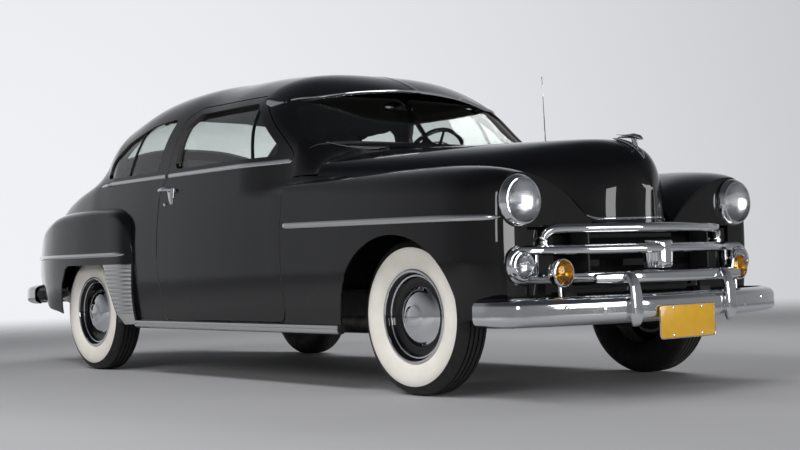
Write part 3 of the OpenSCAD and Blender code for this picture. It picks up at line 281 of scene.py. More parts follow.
# A chain of points with its corners softened over the given number of steps
def softened(points, spread):
    if spread < 0.2:
        return points
    reach = int(3 * spread) + 1
    weight = np.exp(-0.5 * (np.arange(-reach, reach + 1) / spread) ** 2)
    weight /= weight.sum()
    before = 2 * points[0] - points[reach:0:-1]
    after = points[-2:-reach - 2:-1] * np.array([-1, 1])
    chain = np.vstack([before, points, after])
    return np.column_stack([np.convolve(chain[:, k], weight, "valid") for k in (0, 1)])


def body_half(x, inset=0.0):
    zb, zt, zr, n, shoulder = columns_at(BODY_CURVES, 2, 7, x)
    shoulder = max(0.0, shoulder)
    z = np.linspace(zb, zt, SIDE_POINTS)
    side = np.column_stack([side_half(x, z) - inset, z])
    a = np.linspace(math.pi / 16 * min(1.0, shoulder / 40), math.pi / 2, 500)
    rise = (zr - zt - inset) * np.sin(a) ** (2 / n)
    y = (side_half(x, zt) - shoulder - inset - ROOF_LEAN * rise) * np.maximum(0, np.cos(a)) ** (2 / n)
    y[-1] = 0
    upper = even_steps(np.vstack([side[-1:], np.column_stack([y, zt + rise])]), ROOF_POINTS + 1)[1:]
    half = softened(np.vstack([side, upper]), shoulder / 90)
    half[-1, 0] = 0
    return half


# Ahead of the screen's foot the body's section runs into the bonnet's
def flowed(half, x, inset):
    share = float(ease((x - COWL_FLOW) / (COWL_END - COWL_FLOW)))
    if share <= 0:
        return half
    lid = bonnet_half(COWL_END + PANEL_GAP) - np.array([inset, inset])
    lid[:, 0] = np.maximum(lid[:, 0], 0)
    first = int(np.argmax(half[:, 1] >= lid[0, 1]))
    made = half.copy()
    made[:first, 0] += share * (lid[0, 0] - half[first, 0])
    count = len(half) - first
    made[first:] = (1 - share) * even_steps(half[first:], count) + share * even_steps(lid, count)
    made[-1, 0] = 0
    return made


# One row of points across the car, right edge to left, from half a section
def full_row(x, half):
    return [(x, -y, z) for y, z in half] + [(x, y, z) for y, z in half[-2::-1]]


# Rows of points over the whole body, right sill to left sill
def body_rows(xs, inset=0.0):
    return np.array([full_row(x, flowed(body_half(x, inset), x, inset)) for x in xs])


def fender_side(x, z):
    w, zb = columns_at(FENDER_CURVES, 1, 3, x)
    return w - tuck(z, zb, BELT)


def fender_half(x):
    zb, zs, yc, zc, yv, zv = columns_at(FENDER_CURVES, 2, 8, x)
    z = np.linspace(zb, zs, FENDER_SIDE_POINTS)
    side = np.column_stack([fender_side(x, z), z])
    ys = fender_side(x, zs)
    a = np.linspace(0, math.pi / 2, 200)
    corner_y = yc + (ys - yc) * np.maximum(0, np.cos(a)) ** FENDER_ROUND
    corner_z = zs + (zc - zs) * np.sin(a) ** FENDER_ROUND
    t = np.linspace(1, 0, 60)[1:]
    top = np.column_stack([yv + t * (yc - yv), zv + (zc - zv) * (1 - (1 - t) ** 2)])
    upper = even_steps(np.vstack([np.column_stack([corner_y, corner_z]), top]), FENDER_TOP_POINTS)[1:]
    return np.vstack([side, upper, [[yv, zv - FENDER_TURN_DOWN]]])


# How far the rear fender draws in below and above the middle of its side
def rear_tuck(s):
    under = REAR_SILL_TUCK * (np.maximum(0, 0.5 - s) * 2) ** 2
    over = REAR_TOP_TUCK * (np.maximum(0, s - 0.5) * 2) ** 2
    return under + over


def rear_fender_side(x, z):
    w, zb, zs = columns_at(REAR_FENDER_CURVES, 1, 4, x)
    return w - rear_tuck((z - zb) / (zs - zb))


def rear_fender_half(x):
    w, zb, zs, zt = columns_at(REAR_FENDER_CURVES, 1, 5, x)
    s = np.linspace(0, 1, REAR_SIDE_POINTS)
    side = np.column_stack([w - rear_tuck(s), zb + s * (zs - zb)])
    a = np.linspace(0, math.pi / 2, 300)
    reach = w - REAR_TOP_TUCK - REAR_FENDER_ROOT
    corner_y = REAR_FENDER_ROOT + reach * np.maximum(0, np.cos(a)) ** 0.42
    corner = np.column_stack([corner_y, zs + (zt - zs) * np.sin(a) ** 0.95])
    return np.vstack([side, even_steps(corner, REAR_TOP_POINTS)[1:]])


def bonnet_half(x):
    w, ze, zc, n = columns_at(BONNET_CURVES, 1, 5, x)
    a = np.linspace(0, math.pi / 2, 400)
    y = w * np.maximum(0, np.cos(a)) ** (2 / n)
    y[-1] = 0
    curve = np.column_stack([y, ze + (zc - ze) * np.sin(a) ** (2 / n)])
    return np.vstack([[[w - 1, ze - BONNET_TURN_DOWN]], even_steps(curve, BONNET_POINTS)])


# Side outlines: corners, later rounded and grown
DOOR_CORNERS = [
    (DOOR_FRONT, SILL + 5), (DOOR_FRONT, BELT + 36), (along(0.606), BELT + 312), (along(0.588), BELT + 355),
    (along(0.380), BELT + 358), (along(0.350), BELT + 300), (along(0.325), BELT),
    (DOOR_REAR + 6, BELT - 100), (DOOR_REAR - 5, BELT - 430), (DOOR_REAR + 34, SILL + 5)]
DOOR_WINDOW = [
    (along(0.6855), BELT + 32), (along(0.590), BELT + 290), (along(0.576), BELT + 319),
    (along(0.391), BELT + 320), (along(0.3640), BELT + 250), (along(0.3500), BELT + 32)]
QUARTER_WINDOW = [
    (along(0.283), BELT + 32), (along(0.322), BELT + 318), (along(0.230), BELT + 296),
    (along(0.140), BELT + 226), (along(0.083), BELT + 128), (along(0.058), BELT + 32)]
SCREEN_FOOT = BELT + 104
SCREEN_TOP = BELT + 348
SCREEN_PANE = [
    (13, SCREEN_FOOT), (13, SCREEN_TOP), (600, SCREEN_TOP - 14), (686, SCREEN_TOP - 72), (750, BELT + 72)]
REAR_WINDOW = [
    (along(0.070), -470), (along(0.070), 470), (tail(0.150), 510), (tail(0.150), -510)]
BOOT_LID = [(tail(0.225), -430), (tail(0.225), 430), (tail(1.1), 335), (tail(1.1), -335)]
BOOT_LIP = SILL + 235
VENT_SLIT = [(466, 1080), (490, 1080), (420, 1420), (396, 1420)]
REAR_ARCH = [
    (along(-0.088), -100), (along(-0.087), SILL + 66), (along(-0.076), SILL + 196), (along(-0.050), 612),
    (along(0.115), 612), (along(0.1345), SILL + 170), (along(0.1555), SILL + 27), (along(0.17), -100)]


def grown(corners, by):
    points = [np.array(p, float) for p in corners]
    count = len(points)
    area = sum(points[k - 1][0] * points[k][1] - points[k][0] * points[k - 1][1] for k in range(count))
    turn = 1 if area > 0 else -1
    out = []
    for k in range(count):
        into = points[k] - points[k - 1]
        away = points[(k + 1) % count] - points[k]
        n0 = np.array([into[1], -into[0]]) / np.linalg.norm(into) * turn
        n1 = np.array([away[1], -away[0]]) / np.linalg.norm(away) * turn
        out.append(points[k] + by * (n0 + n1) / (1 + n0 @ n1))
    return out


def rounded(corners, radius, steps=8):
    points = [np.array(p, float) for p in corners]
    out = []
    for k, p in enumerate(points):
        back = points[k - 1] - p
        on = points[(k + 1) % len(points)] - p
        lengths = np.linalg.norm(back), np.linalg.norm(on)
        back = back / lengths[0]
        on = on / lengths[1]
        half = math.acos(max(-1.0, min(1.0, float(back @ on)))) / 2
        if half > math.radians(89):
            out.append(p)
            continue
        reach = min(radius / math.tan(half), 0.45 * lengths[0], 0.45 * lengths[1])
        middle = p + (back + on) / np.linalg.norm(back + on) * reach / math.cos(half)
        v0 = p + back * reach - middle
        v1 = p + on * reach - middle
        a0 = math.atan2(v0[1], v0[0])
        swing = (math.atan2(v1[1], v1[0]) - a0 + math.pi) % (2 * math.pi) - math.pi
        r = np.linalg.norm(v0)
        for s in range(steps + 1):
            a = a0 + swing * s / steps
            out.append(middle + r * np.array([math.cos(a), math.sin(a)]))
    return out


# Wheel opening: upright sides below the foot, a full curve above it
def arch(x, half, top, foot):
    out = [(x - half, foot - 400), (x + half, foot - 400), (x + half, foot)]
    for a in np.linspace(0, math.pi, 49)[1:-1]:
        out.append((x + half * math.cos(a), foot + (top - foot) * math.sin(a) ** 0.9))
    return out + [(x - half, foot)]


# Rows closed at both ends by a point in their middle
def capped(rows):
    rows = np.array(rows)
    first = np.repeat(rows[:1].mean(axis=1)[:, None], rows.shape[1], axis=1)
    last = np.repeat(rows[-1:].mean(axis=1)[:, None], rows.shape[1], axis=1)
    return np.concatenate([first, rows, last])


# A row brought to the middle plane and set off along the car, to close a skin's end
def end_row(row, by):
    end = row.copy()
    end[:, :, 1] = 0
    end[:, :, 0] += by
    return end


def mirrored_rows(rows, side):
    rows = np.array(rows, float)
    rows[:, :, 1] *= side
    return rows


# Mesh work: a grid laid on rows of points, and the usual operations on it
def deselect():
    bpy.ops.object.select_all(action="DESELECT")


def pick(piece):
    deselect()
    piece.select_set(True)
    bpy.context.view_layer.objects.active = piece


def skin(name, rows):
    rows = np.asarray(rows, float)
    deselect()
    bpy.ops.mesh.primitive_grid_add(x_subdivisions=rows.shape[1] - 1, y_subdivisions=rows.shape[0] - 1)
    piece = bpy.context.object
    piece.name = name
    piece.data.name = name
    piece.data.vertices.foreach_set("co", (rows * MM).ravel())
    piece.data.update()
    return piece


def weld(piece, reach=0.00002):
    pick(piece)
    bpy.ops.object.mode_set(mode="EDIT")
    bpy.ops.mesh.select_all(action="SELECT")
    bpy.ops.mesh.remove_doubles(threshold=reach)
    bpy.ops.mesh.dissolve_degenerate(threshold=0.000005)
    bpy.ops.mesh.select_all(action="SELECT")
    bpy.ops.mesh.normals_make_consistent(inside=False)
    bpy.ops.object.mode_set(mode="OBJECT")
    return piece


def face_data(piece):
    count = len(piece.data.polygons)
    centres = np.empty(count * 3)
    normals = np.empty(count * 3)
    areas = np.empty(count)
    piece.data.polygons.foreach_get("center", centres)
    piece.data.polygons.foreach_get("normal", normals)
    piece.data.polygons.foreach_get("area", areas)
    return centres.reshape(-1, 3), normals.reshape(-1, 3), areas


# Turns an open sheet so that its faces look away from a point
def face_away(piece, point):
    centres, normals, areas = face_data(piece)
    away = ((centres - np.array(point) * MM) * normals).sum(axis=1)
    if (away * areas).sum() < 0:
        piece.data.flip_normals()
    return piece


def apply_modifier(piece, kind, **settings):
    pick(piece)
    made = piece.modifiers.new(kind.lower(), kind)
    for key, value in settings.items():
        setattr(made, key, value)
    bpy.ops.object.modifier_apply(modifier=made.name)
    return piece


def thicken(piece, thickness):
    return apply_modifier(piece, "SOLIDIFY", thickness=thickness * MM, offset=-1.0, use_rim=True)


# A sheet skinned on rows, faced away from a point and given its thickness
def panel(name, rows, core, thickness):
    return weld(thicken(face_away(skin(name, rows), core), thickness))


def cut(piece, tool, keep="DIFFERENCE"):
    apply_modifier(piece, "BOOLEAN", object=tool, operation=keep, solver="MANIFOLD")
    bpy.data.objects.remove(tool, do_unlink=True)
    piece.data.materials.clear()
    return piece


def prism(outline, axis, low, high):
    deselect()
    bpy.ops.mesh.primitive_circle_add(vertices=len(outline), fill_type="NGON")
    tool = bpy.context.object
    order = {"x": (2, 0, 1), "y": (0, 2, 1), "z": (0, 1, 2)}[axis]
    flat = np.array([(u, v, low) for u, v in outline], float)
    tool.data.vertices.foreach_set("co", (flat[:, order] * MM).ravel())
    tool.data.update()
    push = [0.0, 0.0, 0.0]
    push["xyz".index(axis)] = (high - low) * MM
    bpy.ops.object.mode_set(mode="EDIT")
    bpy.ops.mesh.select_all(action="SELECT")
    bpy.ops.mesh.extrude_region_move(TRANSFORM_OT_translate={"value": push})
    bpy.ops.mesh.select_all(action="SELECT")
    bpy.ops.mesh.normals_make_consistent(inside=False)
    bpy.ops.object.mode_set(mode="OBJECT")
    return tool


# A block through one side of the car, from near its middle plane outwards
def side_block(outline, side, near=450):
    return prism(outline, "y", *sorted((side * near, side * OUTSIDE)))


def box_tool(low, high):
    return prism([(low[0], low[1]), (high[0], low[1]), (high[0], high[1]), (low[0], high[1])],
                 "z", low[2], high[2])


def smooth(piece, angle=32):
    pick(piece)
    bpy.ops.object.shade_smooth_by_angle(angle=math.radians(angle))
    return piece


def settle(piece, material, body, slot, *nodes):
    for each in material if isinstance(material, (list, tuple)) else [material]:
        piece.data.materials.append(each)
    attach(piece, body)
    if nodes:
        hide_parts(*nodes)
    return piece


# Faces that look at a line along the car take the second material
def line_inside(piece, axis_z):
    centres, normals, _ = face_data(piece)
    out = centres - np.array([0, 0, axis_z * MM])
    out[:, 0] = 0
    inner = ((out * normals).sum(axis=1) < 0).astype(np.int32)
    piece.data.polygons.foreach_set("material_index", inner)
    piece.data.update()


# Profile of a round bead: its radius and height, half width and half height
def bead(r, h, wide, high, count=17):
    return [(r + wide * math.cos(a), h + high * math.sin(a)) for a in np.linspace(0, 2 * math.pi, count)]


def turned(name, profile, centre, axis, steps=96):
    rows = []
    for k in range(steps + 1):
        a = 2 * math.pi * (k % steps) / steps
        rows.append([around(r, h, a, centre, axis) for r, h in profile])
    return smooth(weld(skin(name, rows)), 30)


def around(r, h, a, centre, axis):
    u = r * math.cos(a)
    v = r * math.sin(a)
    at = {"x": (h, u, v), "y": (u, h, v), "z": (u, v, h)}[axis]
    return [centre[k] + at[k] for k in range(3)]


# A section swept along a path of points; the section is given across and up
def swept(name, path, section, up=(0, 0, 1), scales=None, closed=False):
    path = np.asarray(path, float)
    ahead = np.roll(path, -1, axis=0) - np.roll(path, 1, axis=0) if closed else np.gradient(path, axis=0)
    ahead = ahead / np.linalg.norm(ahead, axis=1)[:, None]
    ups = np.broadcast_to(np.asarray(up, float), path.shape)
    sides = np.cross(ahead, ups)
    sides = sides / np.linalg.norm(sides, axis=1)[:, None]
    ups = np.cross(sides, ahead)
    scales = np.ones(len(path)) if scales is None else np.asarray(scales, float)
    ring = np.vstack([section, section[:1]])
    rows = [path[k] + scales[k] * (ring[:, :1] * sides[k] + ring[:, 1:] * ups[k]) for k in range(len(path))]
    rows = rows + rows[:1] if closed else capped(rows)
    return smooth(weld(skin(name, rows)), 40)


# The same along even steps, with sizes at given shares of the way
def tapered(name, points, count, section, up=(0, 0, 1), at=(0, 1), sizes=(1, 1)):
    scales = np.interp(np.linspace(0, 1, count), at, sizes)
    return swept(name, even_steps(points, count), section, up, scales)


def oval(width, height, count=16):
    a = np.linspace(0, 2 * math.pi, count, endpoint=False)
    return np.column_stack([width / 2 * np.cos(a), height / 2 * np.sin(a)])


def rounded_bar(width, height, corner):
    w = width / 2
    h = height / 2
    return np.array(rounded([(-w, -h), (w, -h), (w, h), (-w, h)], corner, 5))


def vertex_rows(piece):
    co = np.empty(len(piece.data.vertices) * 3)
    piece.data.vertices.foreach_get("co", co)
    return co.reshape(-1, 3) / MM


def put_vertices(piece, rows):
    piece.data.vertices.foreach_set("co", (np.asarray(rows) * MM).ravel())
    piece.data.update()
    return piece


def placed(piece, stretch, shift):
    return put_vertices(piece, vertex_rows(piece) * np.array(stretch) + np.array(shift))


def joined(name, parts):
    deselect()
    for part in parts:
        part.select_set(True)
    bpy.context.view_layer.objects.active = parts[0]
    if len(parts) > 1:
        bpy.ops.object.join()
    parts[0].name = name
    parts[0].data.name = name
    return parts[0]


# Shader nodes: an input's name is written with low lines for its spaces
def set_inputs(node, **values):
    for name, value in values.items():
        node.inputs[name.replace("_", " ")].default_value = value


def add_node(tree, kind, **values):
    made = tree.nodes.new("ShaderNode" + kind)
    set_inputs(made, **values)
    return made


def wire(tree, start, out, end, into):
    tree.links.new(start.outputs[out], end.inputs[into])


# Finishes
def new_finish(name, colour, roughness, metallic=0.0, coat=0.0, coat_roughness=0.03):
    made = bpy.data.materials.new(name)
    made.use_nodes = True
    set_inputs(made.node_tree.nodes[SHADER], Base_Color=(*colour, 1.0), Roughness=roughness,
               Metallic=metallic, Coat_Weight=coat, Coat_Roughness=coat_roughness)
    return made


def noise_node(tree, scale, detail=3.0, stretch=(1.0, 1.0, 1.0)):
    where = add_node(tree, "TexCoord")
    turn = add_node(tree, "Mapping", Scale=stretch)
    wire(tree, where, "Object", turn, "Vector")
    noise = add_node(tree, "TexNoise", Scale=scale, Detail=detail)
    wire(tree, turn, "Vector", noise, "Vector")
    return noise


def vary_roughness(made, scale, low, high):
    tree = made.node_tree
    noise = noise_node(tree, scale)
    spread = add_node(tree, "MapRange", From_Min=0.3, From_Max=0.7, To_Min=low, To_Max=high)
    wire(tree, noise, "Fac", spread, "Value")
    wire(tree, spread, "Result", tree.nodes[SHADER], "Roughness")


def vary_colour(made, scale, first, second, stretch=(1.0, 1.0, 1.0)):
    tree = made.node_tree
    noise = noise_node(tree, scale, 4.0, stretch)
    ramp = colour_ramp(tree, (0.35, first), (0.65, second))
    wire(tree, noise, "Fac", ramp, "Fac")
    wire(tree, ramp, "Color", tree.nodes[SHADER], "Base Color")


# A ramp between two colours, each at its place
def colour_ramp(tree, *stops):
    ramp = add_node(tree, "ValToRGB")
    for element, (place, colour) in zip(ramp.color_ramp.elements, stops):
        element.position = place
        element.color = (*colour, 1.0)
    return ramp


def add_bump(tree, height, strength, distance):
    bump = add_node(tree, "Bump", Strength=strength, Distance=distance)
    wire(tree, height, "Fac", bump, "Height")
    wire(tree, bump, "Normal", tree.nodes[SHADER], "Normal")


def add_grain(made, scale, strength, distance):
    add_bump(made.node_tree, noise_node(made.node_tree, scale, 2.0), strength, distance)


# Upright pressed flutes, as in lamp glass
def add_flutes(made, scale, strength, distance):
    tree = made.node_tree
    place = add_node(tree, "TexCoord")
    waves = add_node(tree, "TexWave", Scale=scale)
    waves.wave_type = "BANDS"
    waves.bands_direction = "Y"
    wire(tree, place, "Object", waves, "Vector")
    add_bump(tree, waves, strength, distance)


def clear_finish(name, colour, roughness=0.0):
    made = new_finish(name, colour, roughness)
    set_inputs(made.node_tree.nodes[SHADER], Transmission_Weight=1.0, IOR=1.45)
    return made


black_paint = new_finish("black_paint", (0.003, 0.003, 0.0035), 0.3, 0.0, 1.0, 0.012)
set_inputs(black_paint.node_tree.nodes[SHADER], Specular_IOR_Level=0.05)
vary_roughness(black_paint, 6.0, 0.25, 0.35)
add_grain(black_paint, 420.0, 0.006, 0.0004)
under_paint = new_finish("under_paint", (0.012, 0.012, 0.012), 0.5)
vary_roughness(under_paint, 14.0, 0.4, 0.65)
add_grain(under_paint, 120.0, 0.15, 0.001)
chrome = new_finish("chrome", (0.82, 0.83, 0.85), 0.05, 1.0)
vary_roughness(chrome, 9.0, 0.03, 0.09)
stainless = new_finish("stainless", (0.72, 0.72, 0.72), 0.16, 1.0)
vary_roughness(stainless, 30.0, 0.12, 0.22)
window_glass = clear_finish("window_glass", (0.86, 0.9, 0.88))
add_grain(window_glass, 3.0, 0.01, 0.0005)
headliner = new_finish("headliner", (0.10, 0.095, 0.09), 0.95)
vary_colour(headliner, 90.0, (0.085, 0.08, 0.075), (0.115, 0.11, 0.10))
add_grain(headliner, 700.0, 0.35, 0.0006)
carpet = new_finish("carpet", (0.03, 0.03, 0.03), 1.0)
vary_colour(carpet, 240.0, (0.02, 0.02, 0.02), (0.05, 0.048, 0.045))
add_grain(carpet, 600.0, 0.8, 0.002)
seat_cloth = new_finish("seat_cloth", (0.16, 0.15, 0.14), 0.9)
vary_colour(seat_cloth, 160.0, (0.13, 0.12, 0.115), (0.2, 0.19, 0.175), (1.0, 0.15, 1.0))
add_grain(seat_cloth, 900.0, 0.5, 0.0006)
trim_card = new_finish("trim_card", (0.09, 0.085, 0.08), 0.75)
vary_colour(trim_card, 60.0, (0.08, 0.075, 0.07), (0.1, 0.095, 0.09))
add_grain(trim_card, 500.0, 0.3, 0.0005)
rubber = new_finish("rubber", (0.012, 0.012, 0.012), 0.62)
vary_roughness(rubber, 40.0, 0.5, 0.75)
add_grain(rubber, 260.0, 0.2, 0.0006)
white_rubber = new_finish("white_rubber", (0.78, 0.75, 0.68), 0.5)
vary_colour(white_rubber, 10.0, (0.74, 0.71, 0.64), (0.8, 0.77, 0.71))
add_grain(white_rubber, 160.0, 0.08, 0.0005)
plate_enamel = new_finish("plate_enamel", (0.86, 0.46, 0.006), 0.3, 0.0, 0.6)
vary_colour(plate_enamel, 25.0, (0.84, 0.44, 0.005), (0.88, 0.48, 0.01))
dash_paint = new_finish("dash_paint", (0.05, 0.042, 0.036), 0.35, 0.0, 0.5)
vary_roughness(dash_paint, 30.0, 0.3, 0.42)
control_gloss = new_finish("control_gloss", (0.012, 0.012, 0.013), 0.2, 0.0, 0.4)
vary_roughness(control_gloss, 25.0, 0.15, 0.28)
cast_metal = new_finish("cast_metal", (0.1, 0.11, 0.11), 0.6, 0.3)
vary_colour(cast_metal, 30.0, (0.07, 0.075, 0.075), (0.13, 0.135, 0.13))
add_grain(cast_metal, 220.0, 0.4, 0.001)
dull_steel = new_finish("dull_steel", (0.25, 0.24, 0.23), 0.5, 0.9)
vary_colour(dull_steel, 18.0, (0.2, 0.18, 0.16), (0.3, 0.29, 0.28))
fluted_glass = clear_finish("fluted_glass", (0.97, 0.98, 1.0), 0.03)
amber_glass = clear_finish("amber_glass", (1.0, 0.62, 0.03), 0.04)
red_glass = clear_finish("red_glass", (0.62, 0.01, 0.012), 0.08)
add_flutes(fluted_glass, 38.0, 0.45, 0.0016)
reflector = new_finish("reflector", (0.62, 0.63, 0.65), 0.16, 1.0)
vary_roughness(reflector, 60.0, 0.1, 0.26)

# CAD pieces that stay as they are get their finish here
CAD_FINISH = {
    "chassis_frame": under_paint, "floor_pan": carpet, "front_panel": black_paint, "dashboard": dash_paint,
    "steering_column": control_gloss, "engine": cast_metal,
    "front_axle": under_paint, "rear_axle": under_paint,
    "exhaust": dull_steel, "fuel_tank": dull_steel, "knuckle_right": cast_metal, "knuckle_left": cast_metal}


# Body shell: roof, quarters and cowl in one skin
def spots(low, high, step):
    return np.linspace(low, high, max(2, int(round((high - low) / step)) + 1))


# Blocks that cut both screen panes, set in from their edges by a gap
def screen_blocks(gap):
    for side in (-1, 1):
        pane = [(side * y, z) for y, z in rounded(grown(SCREEN_PANE, -gap), 40)]
        yield prism(pane, "x", along(0.61), along(0.61) + 700)


def body_shell():
    xs = np.concatenate([spots(BODY[0][0], along(0.60), 21)[:-1], spots(along(0.60), COWL_END, 8)])
    rows = body_rows(xs)
    shell = panel("body_shell", np.concatenate([end_row(rows[:1], -3), rows]), CABIN, 15)
    door = rounded(grown(DOOR_CORNERS, PANEL_GAP / 2), DOOR_ROUND)
    window = rounded(QUARTER_WINDOW, QUARTER_ROUND)
    opening = arch(AXLE_R, 378, TYRE_R * 2 + 45, TYRE_R)
    for side in (-1, 1):
        for outline in (door, window, opening):
            cut(shell, side_block(outline, side))
    for block in screen_blocks(0.0):
        cut(shell, block)
    cut(shell, prism(rounded(REAR_WINDOW, REAR_ROUND), "z", BELT, ABOVE))
    cut(shell, prism(rounded(grown(BOOT_LID, PANEL_GAP), BOOT_ROUND), "z", BOOT_LIP - PANEL_GAP, ABOVE))
    cut(shell, box_tool((SPLIT_X, -1200, 0), (1100, 1200, BELT - 75)))
    cut(shell, box_tool((tail(1.1), -1200, 0), (tail(0.79), 1200, SILL + 205)))
    line_inside(shell, CABIN[2])
    smooth(shell)
    settle(shell, [black_paint, headliner], "car", "body_paint",
           "roof", "quarter_right", "quarter_left", "cowl")


def doors():
    outline = rounded(grown(DOOR_CORNERS, -PANEL_GAP / 2), DOOR_ROUND)
    window = rounded(DOOR_WINDOW, WINDOW_ROUND)
    rows = body_rows(spots(along(0.28), along(0.735), 14))
    middle = rows.shape[1] // 2
    halves = {"right": rows[:, :middle - 8], "left": rows[:, middle + 9:]}
    for name, side in SIDES:
        door = panel("door_" + name, halves[name], CABIN, 34)
        cut(door, side_block(outline, side), "INTERSECT")
        cut(door, side_block(window, side))
        line_inside(door, CABIN[2])
        settle(smooth(door), [black_paint, trim_card], "door_" + name, "body_paint", "door_" + name)


# Both fenders of one end, with their wheel openings; the rear ones are trimmed against the body
def fender_pair(end, rows, core, opening, near, trimmed):
    for name, side in SIDES:
        node = "%s_fender_%s" % (end, name)
        fender = panel(node, mirrored_rows(rows, side), (core[0], side * core[1], core[2]), 8)
        cut(fender, side_block(opening, side, near))
        if trimmed:
            cut(fender, body_block(BODY[0][0], along(0.36), 1.0))
        settle(smooth(fender), black_paint, "car", "body_paint", node)


def front_fenders():
    rows = [[(x, y, z) for y, z in fender_half(x)] for x in spots(FENDER[0][0], FENDER_FRONT, 16)]
    edge = np.array(rows[-1])
    front = np.full(len(edge), FENDER_FRONT)
    inner = np.column_stack([front, np.minimum(edge[:, 1], 640), np.minimum(edge[:, 2], 700)])
    for k in range(1, 11):
        s = k / 10
        ring = edge + (inner - edge) * s
        ring[:, 0] = FENDER_FRONT + 9 * math.sqrt(1 - (1 - s) ** 2)
        rows.append([tuple(p) for p in ring])
    fender_pair("front", rows, (1500, 640, 500), arch(AXLE_F, ARCH_HALF, 690, SILL), 420, False)


# The body as one closed block, to trim what is set against it
def body_block(x_low, x_high, inset):
    rows = body_rows(spots(x_low, x_high, 30), inset)
    floor = rows[:, [0, -1]].copy()
    floor[:, :, 2] -= 200
    rows = np.concatenate([floor[:, :1], rows, floor[:, 1:], floor[:, :1]], axis=1)
    return weld(skin("body_block", capped(rows)))


def rear_fenders():
    xs = spots(REAR_FENDER[0][0], REAR_FENDER[-1][0], 15)
    rows = [[(x, y, z) for y, z in rear_fender_half(x)] for x in xs]
    for at, where in ((0, 0), (len(rows) + 1, -1)):
        edge = np.array(rows[where])
        edge[:, 1] = 480
        rows.insert(at, [tuple(p) for p in edge])
    fender_pair("rear", rows, (-1400, 500, 500), rounded(REAR_ARCH, 60), 400, True)


def bonnet():
    xs = np.concatenate([spots(BONNET[0][0], nose(0.60), 16)[:-1], spots(nose(0.60), nose(0.797), 4)])
    rows = np.array([full_row(x, bonnet_half(x)) for x in xs])
    lid = panel("bonnet", np.concatenate([rows, end_row(rows[-1:], 3)]), (1600, 0, 600), 8)
    settle(smooth(lid), black_paint, "bonnet", "body_paint", "bonnet")


def boot_lid():
    rows = body_rows(spots(BODY[0][0], tail(0.1), 16))
    lid = panel("boot_lid", np.concatenate([end_row(rows[:1], -3), rows]), (-1600, 0, 600), 12)
    cut(lid, prism(rounded(BOOT_LID, BOOT_ROUND), "z", BOOT_LIP, ABOVE), "INTERSECT")
    settle(smooth(lid), black_paint, "boot_lid", "body_paint", "boot_lid")


# A pane cut from the body's surface; its name is its node's
def pane(name, rows, body, blocks, slit=None):
    made = panel(name, rows, CABIN, 5)
    cut(made, joined("panes", list(blocks)), "INTERSECT")
    if slit:
        cut(made, prism(slit, "y", -1200, 1200))
    settle(smooth(made), window_glass, body, "window", name)


# Glass follows the body a little inside its skin
def glass():
    pane("windscreen", body_rows(spots(along(0.60), COWL_END, 10), 12), "car", screen_blocks(GLASS_GAP))
    rows = body_rows(spots(tail(0.35), along(0.42), 20), 12)
    outline = rounded(grown(REAR_WINDOW, -GLASS_GAP), REAR_ROUND)
    pane("rear_window", rows, "car", [prism(outline, "z", BELT, ABOVE)])
    outline = rounded(grown(QUARTER_WINDOW, -GLASS_GAP), QUARTER_ROUND)
    pane("quarter_glass", rows, "car", [side_block(outline, side) for side in (-1, 1)])
    rows = body_rows(spots(along(0.3), along(0.72), 20), 20)
    outline = rounded(grown(DOOR_WINDOW, -GLASS_GAP), WINDOW_ROUND)
    for name, side in SIDES:
        pane("door_glass_" + name, rows, "door_" + name, [side_block(outline, side)], VENT_SLIT)


body_shell()
doors()
front_fenders()
rear_fenders()
bonnet()
boot_lid()
glass()

# Wheels: whitewall tyres, black discs with two bright lines and a domed cap
TYRE_PROFILE = [
    (190.3, -54), (210, -68), (250, -82), (275, -84), (298, -78), (318, -70), (333, -58), (337.5, -48),
    (338, -40), (330, -39), (330, -33), (338, -32), (338, -16), (330, -15), (330, -9), (338, -8), (338, 8),
    (330, 9), (330, 15), (338, 16), (338, 32), (330, 33), (330, 39), (338, 40), (337.5, 48), (333, 58),
    (318, 70), (298, 78), (296, 79.5), (275, 84), (250, 82.5), (222, 75), (205, 66), (196, 58), (190.3, 53.7)]
WHITEWALL_R = (204, 297)
WHITEWALL_OUT = 40
HALF_TRACK_F = 715
HALF_TRACK_R = 745
DISC_PROFILE = [
    (190, 46), (190, 53), (200, 61), (203, 63), (200, 66), (192, 65), (186, 60),
    (181, 52), (176, 40), (168, 28), (150, 22), (138, 24), (126, 22), (60, 20)]
CAP_PROFILE = [
    (132, 20), (131, 25), (126, 30), (122, 32), (118, 37), (104, 47), (86, 54),
    (64, 59), (50, 60.5), (46, 63), (40, 64.5), (20, 66), (0, 66.4)]


# One wheel: its profiles are radius and distance outwards from its middle plane
def wheel(name, x, y):
    side = -1 if y < 0 else 1

    def spun(piece, profile, steps=96):
        return turned(piece + name, [(r, h * side) for r, h in profile], (x, y, TYRE_R), "y", steps)

    tyre = spun("tyre_", TYRE_PROFILE, 120)
    centres = face_data(tyre)[0]
    r = np.hypot(centres[:, 0] - x * MM, centres[:, 2] - TYRE_R * MM) / MM
    h = (centres[:, 1] / MM - y) * side
    white = ((r < WHITEWALL_R[1]) & (r > WHITEWALL_R[0]) & (h > WHITEWALL_OUT)).astype(np.int32)
    tyre.data.polygons.foreach_set("material_index", white)
    settle(tyre, [rubber, white_rubber], "wheel_" + name, "tyre", "tyre_" + name)
    disc = thicken(spun("disc_", DISC_PROFILE), 3)
    settle(smooth(disc), black_paint, "wheel_" + name, "wheel_metal", "wheel_" + name)
    settle(spun("hub_cap_", CAP_PROFILE), chrome, "wheel_" + name, "bright")
    for k, (ring_r, ring_h, wide) in enumerate(((197, 65.5, 7), (177, 44, 5.5))):
        settle(spun("trim_ring_%d_" % k, bead(ring_r, ring_h, wide, 3.5)), chrome, "wheel_" + name, "bright")


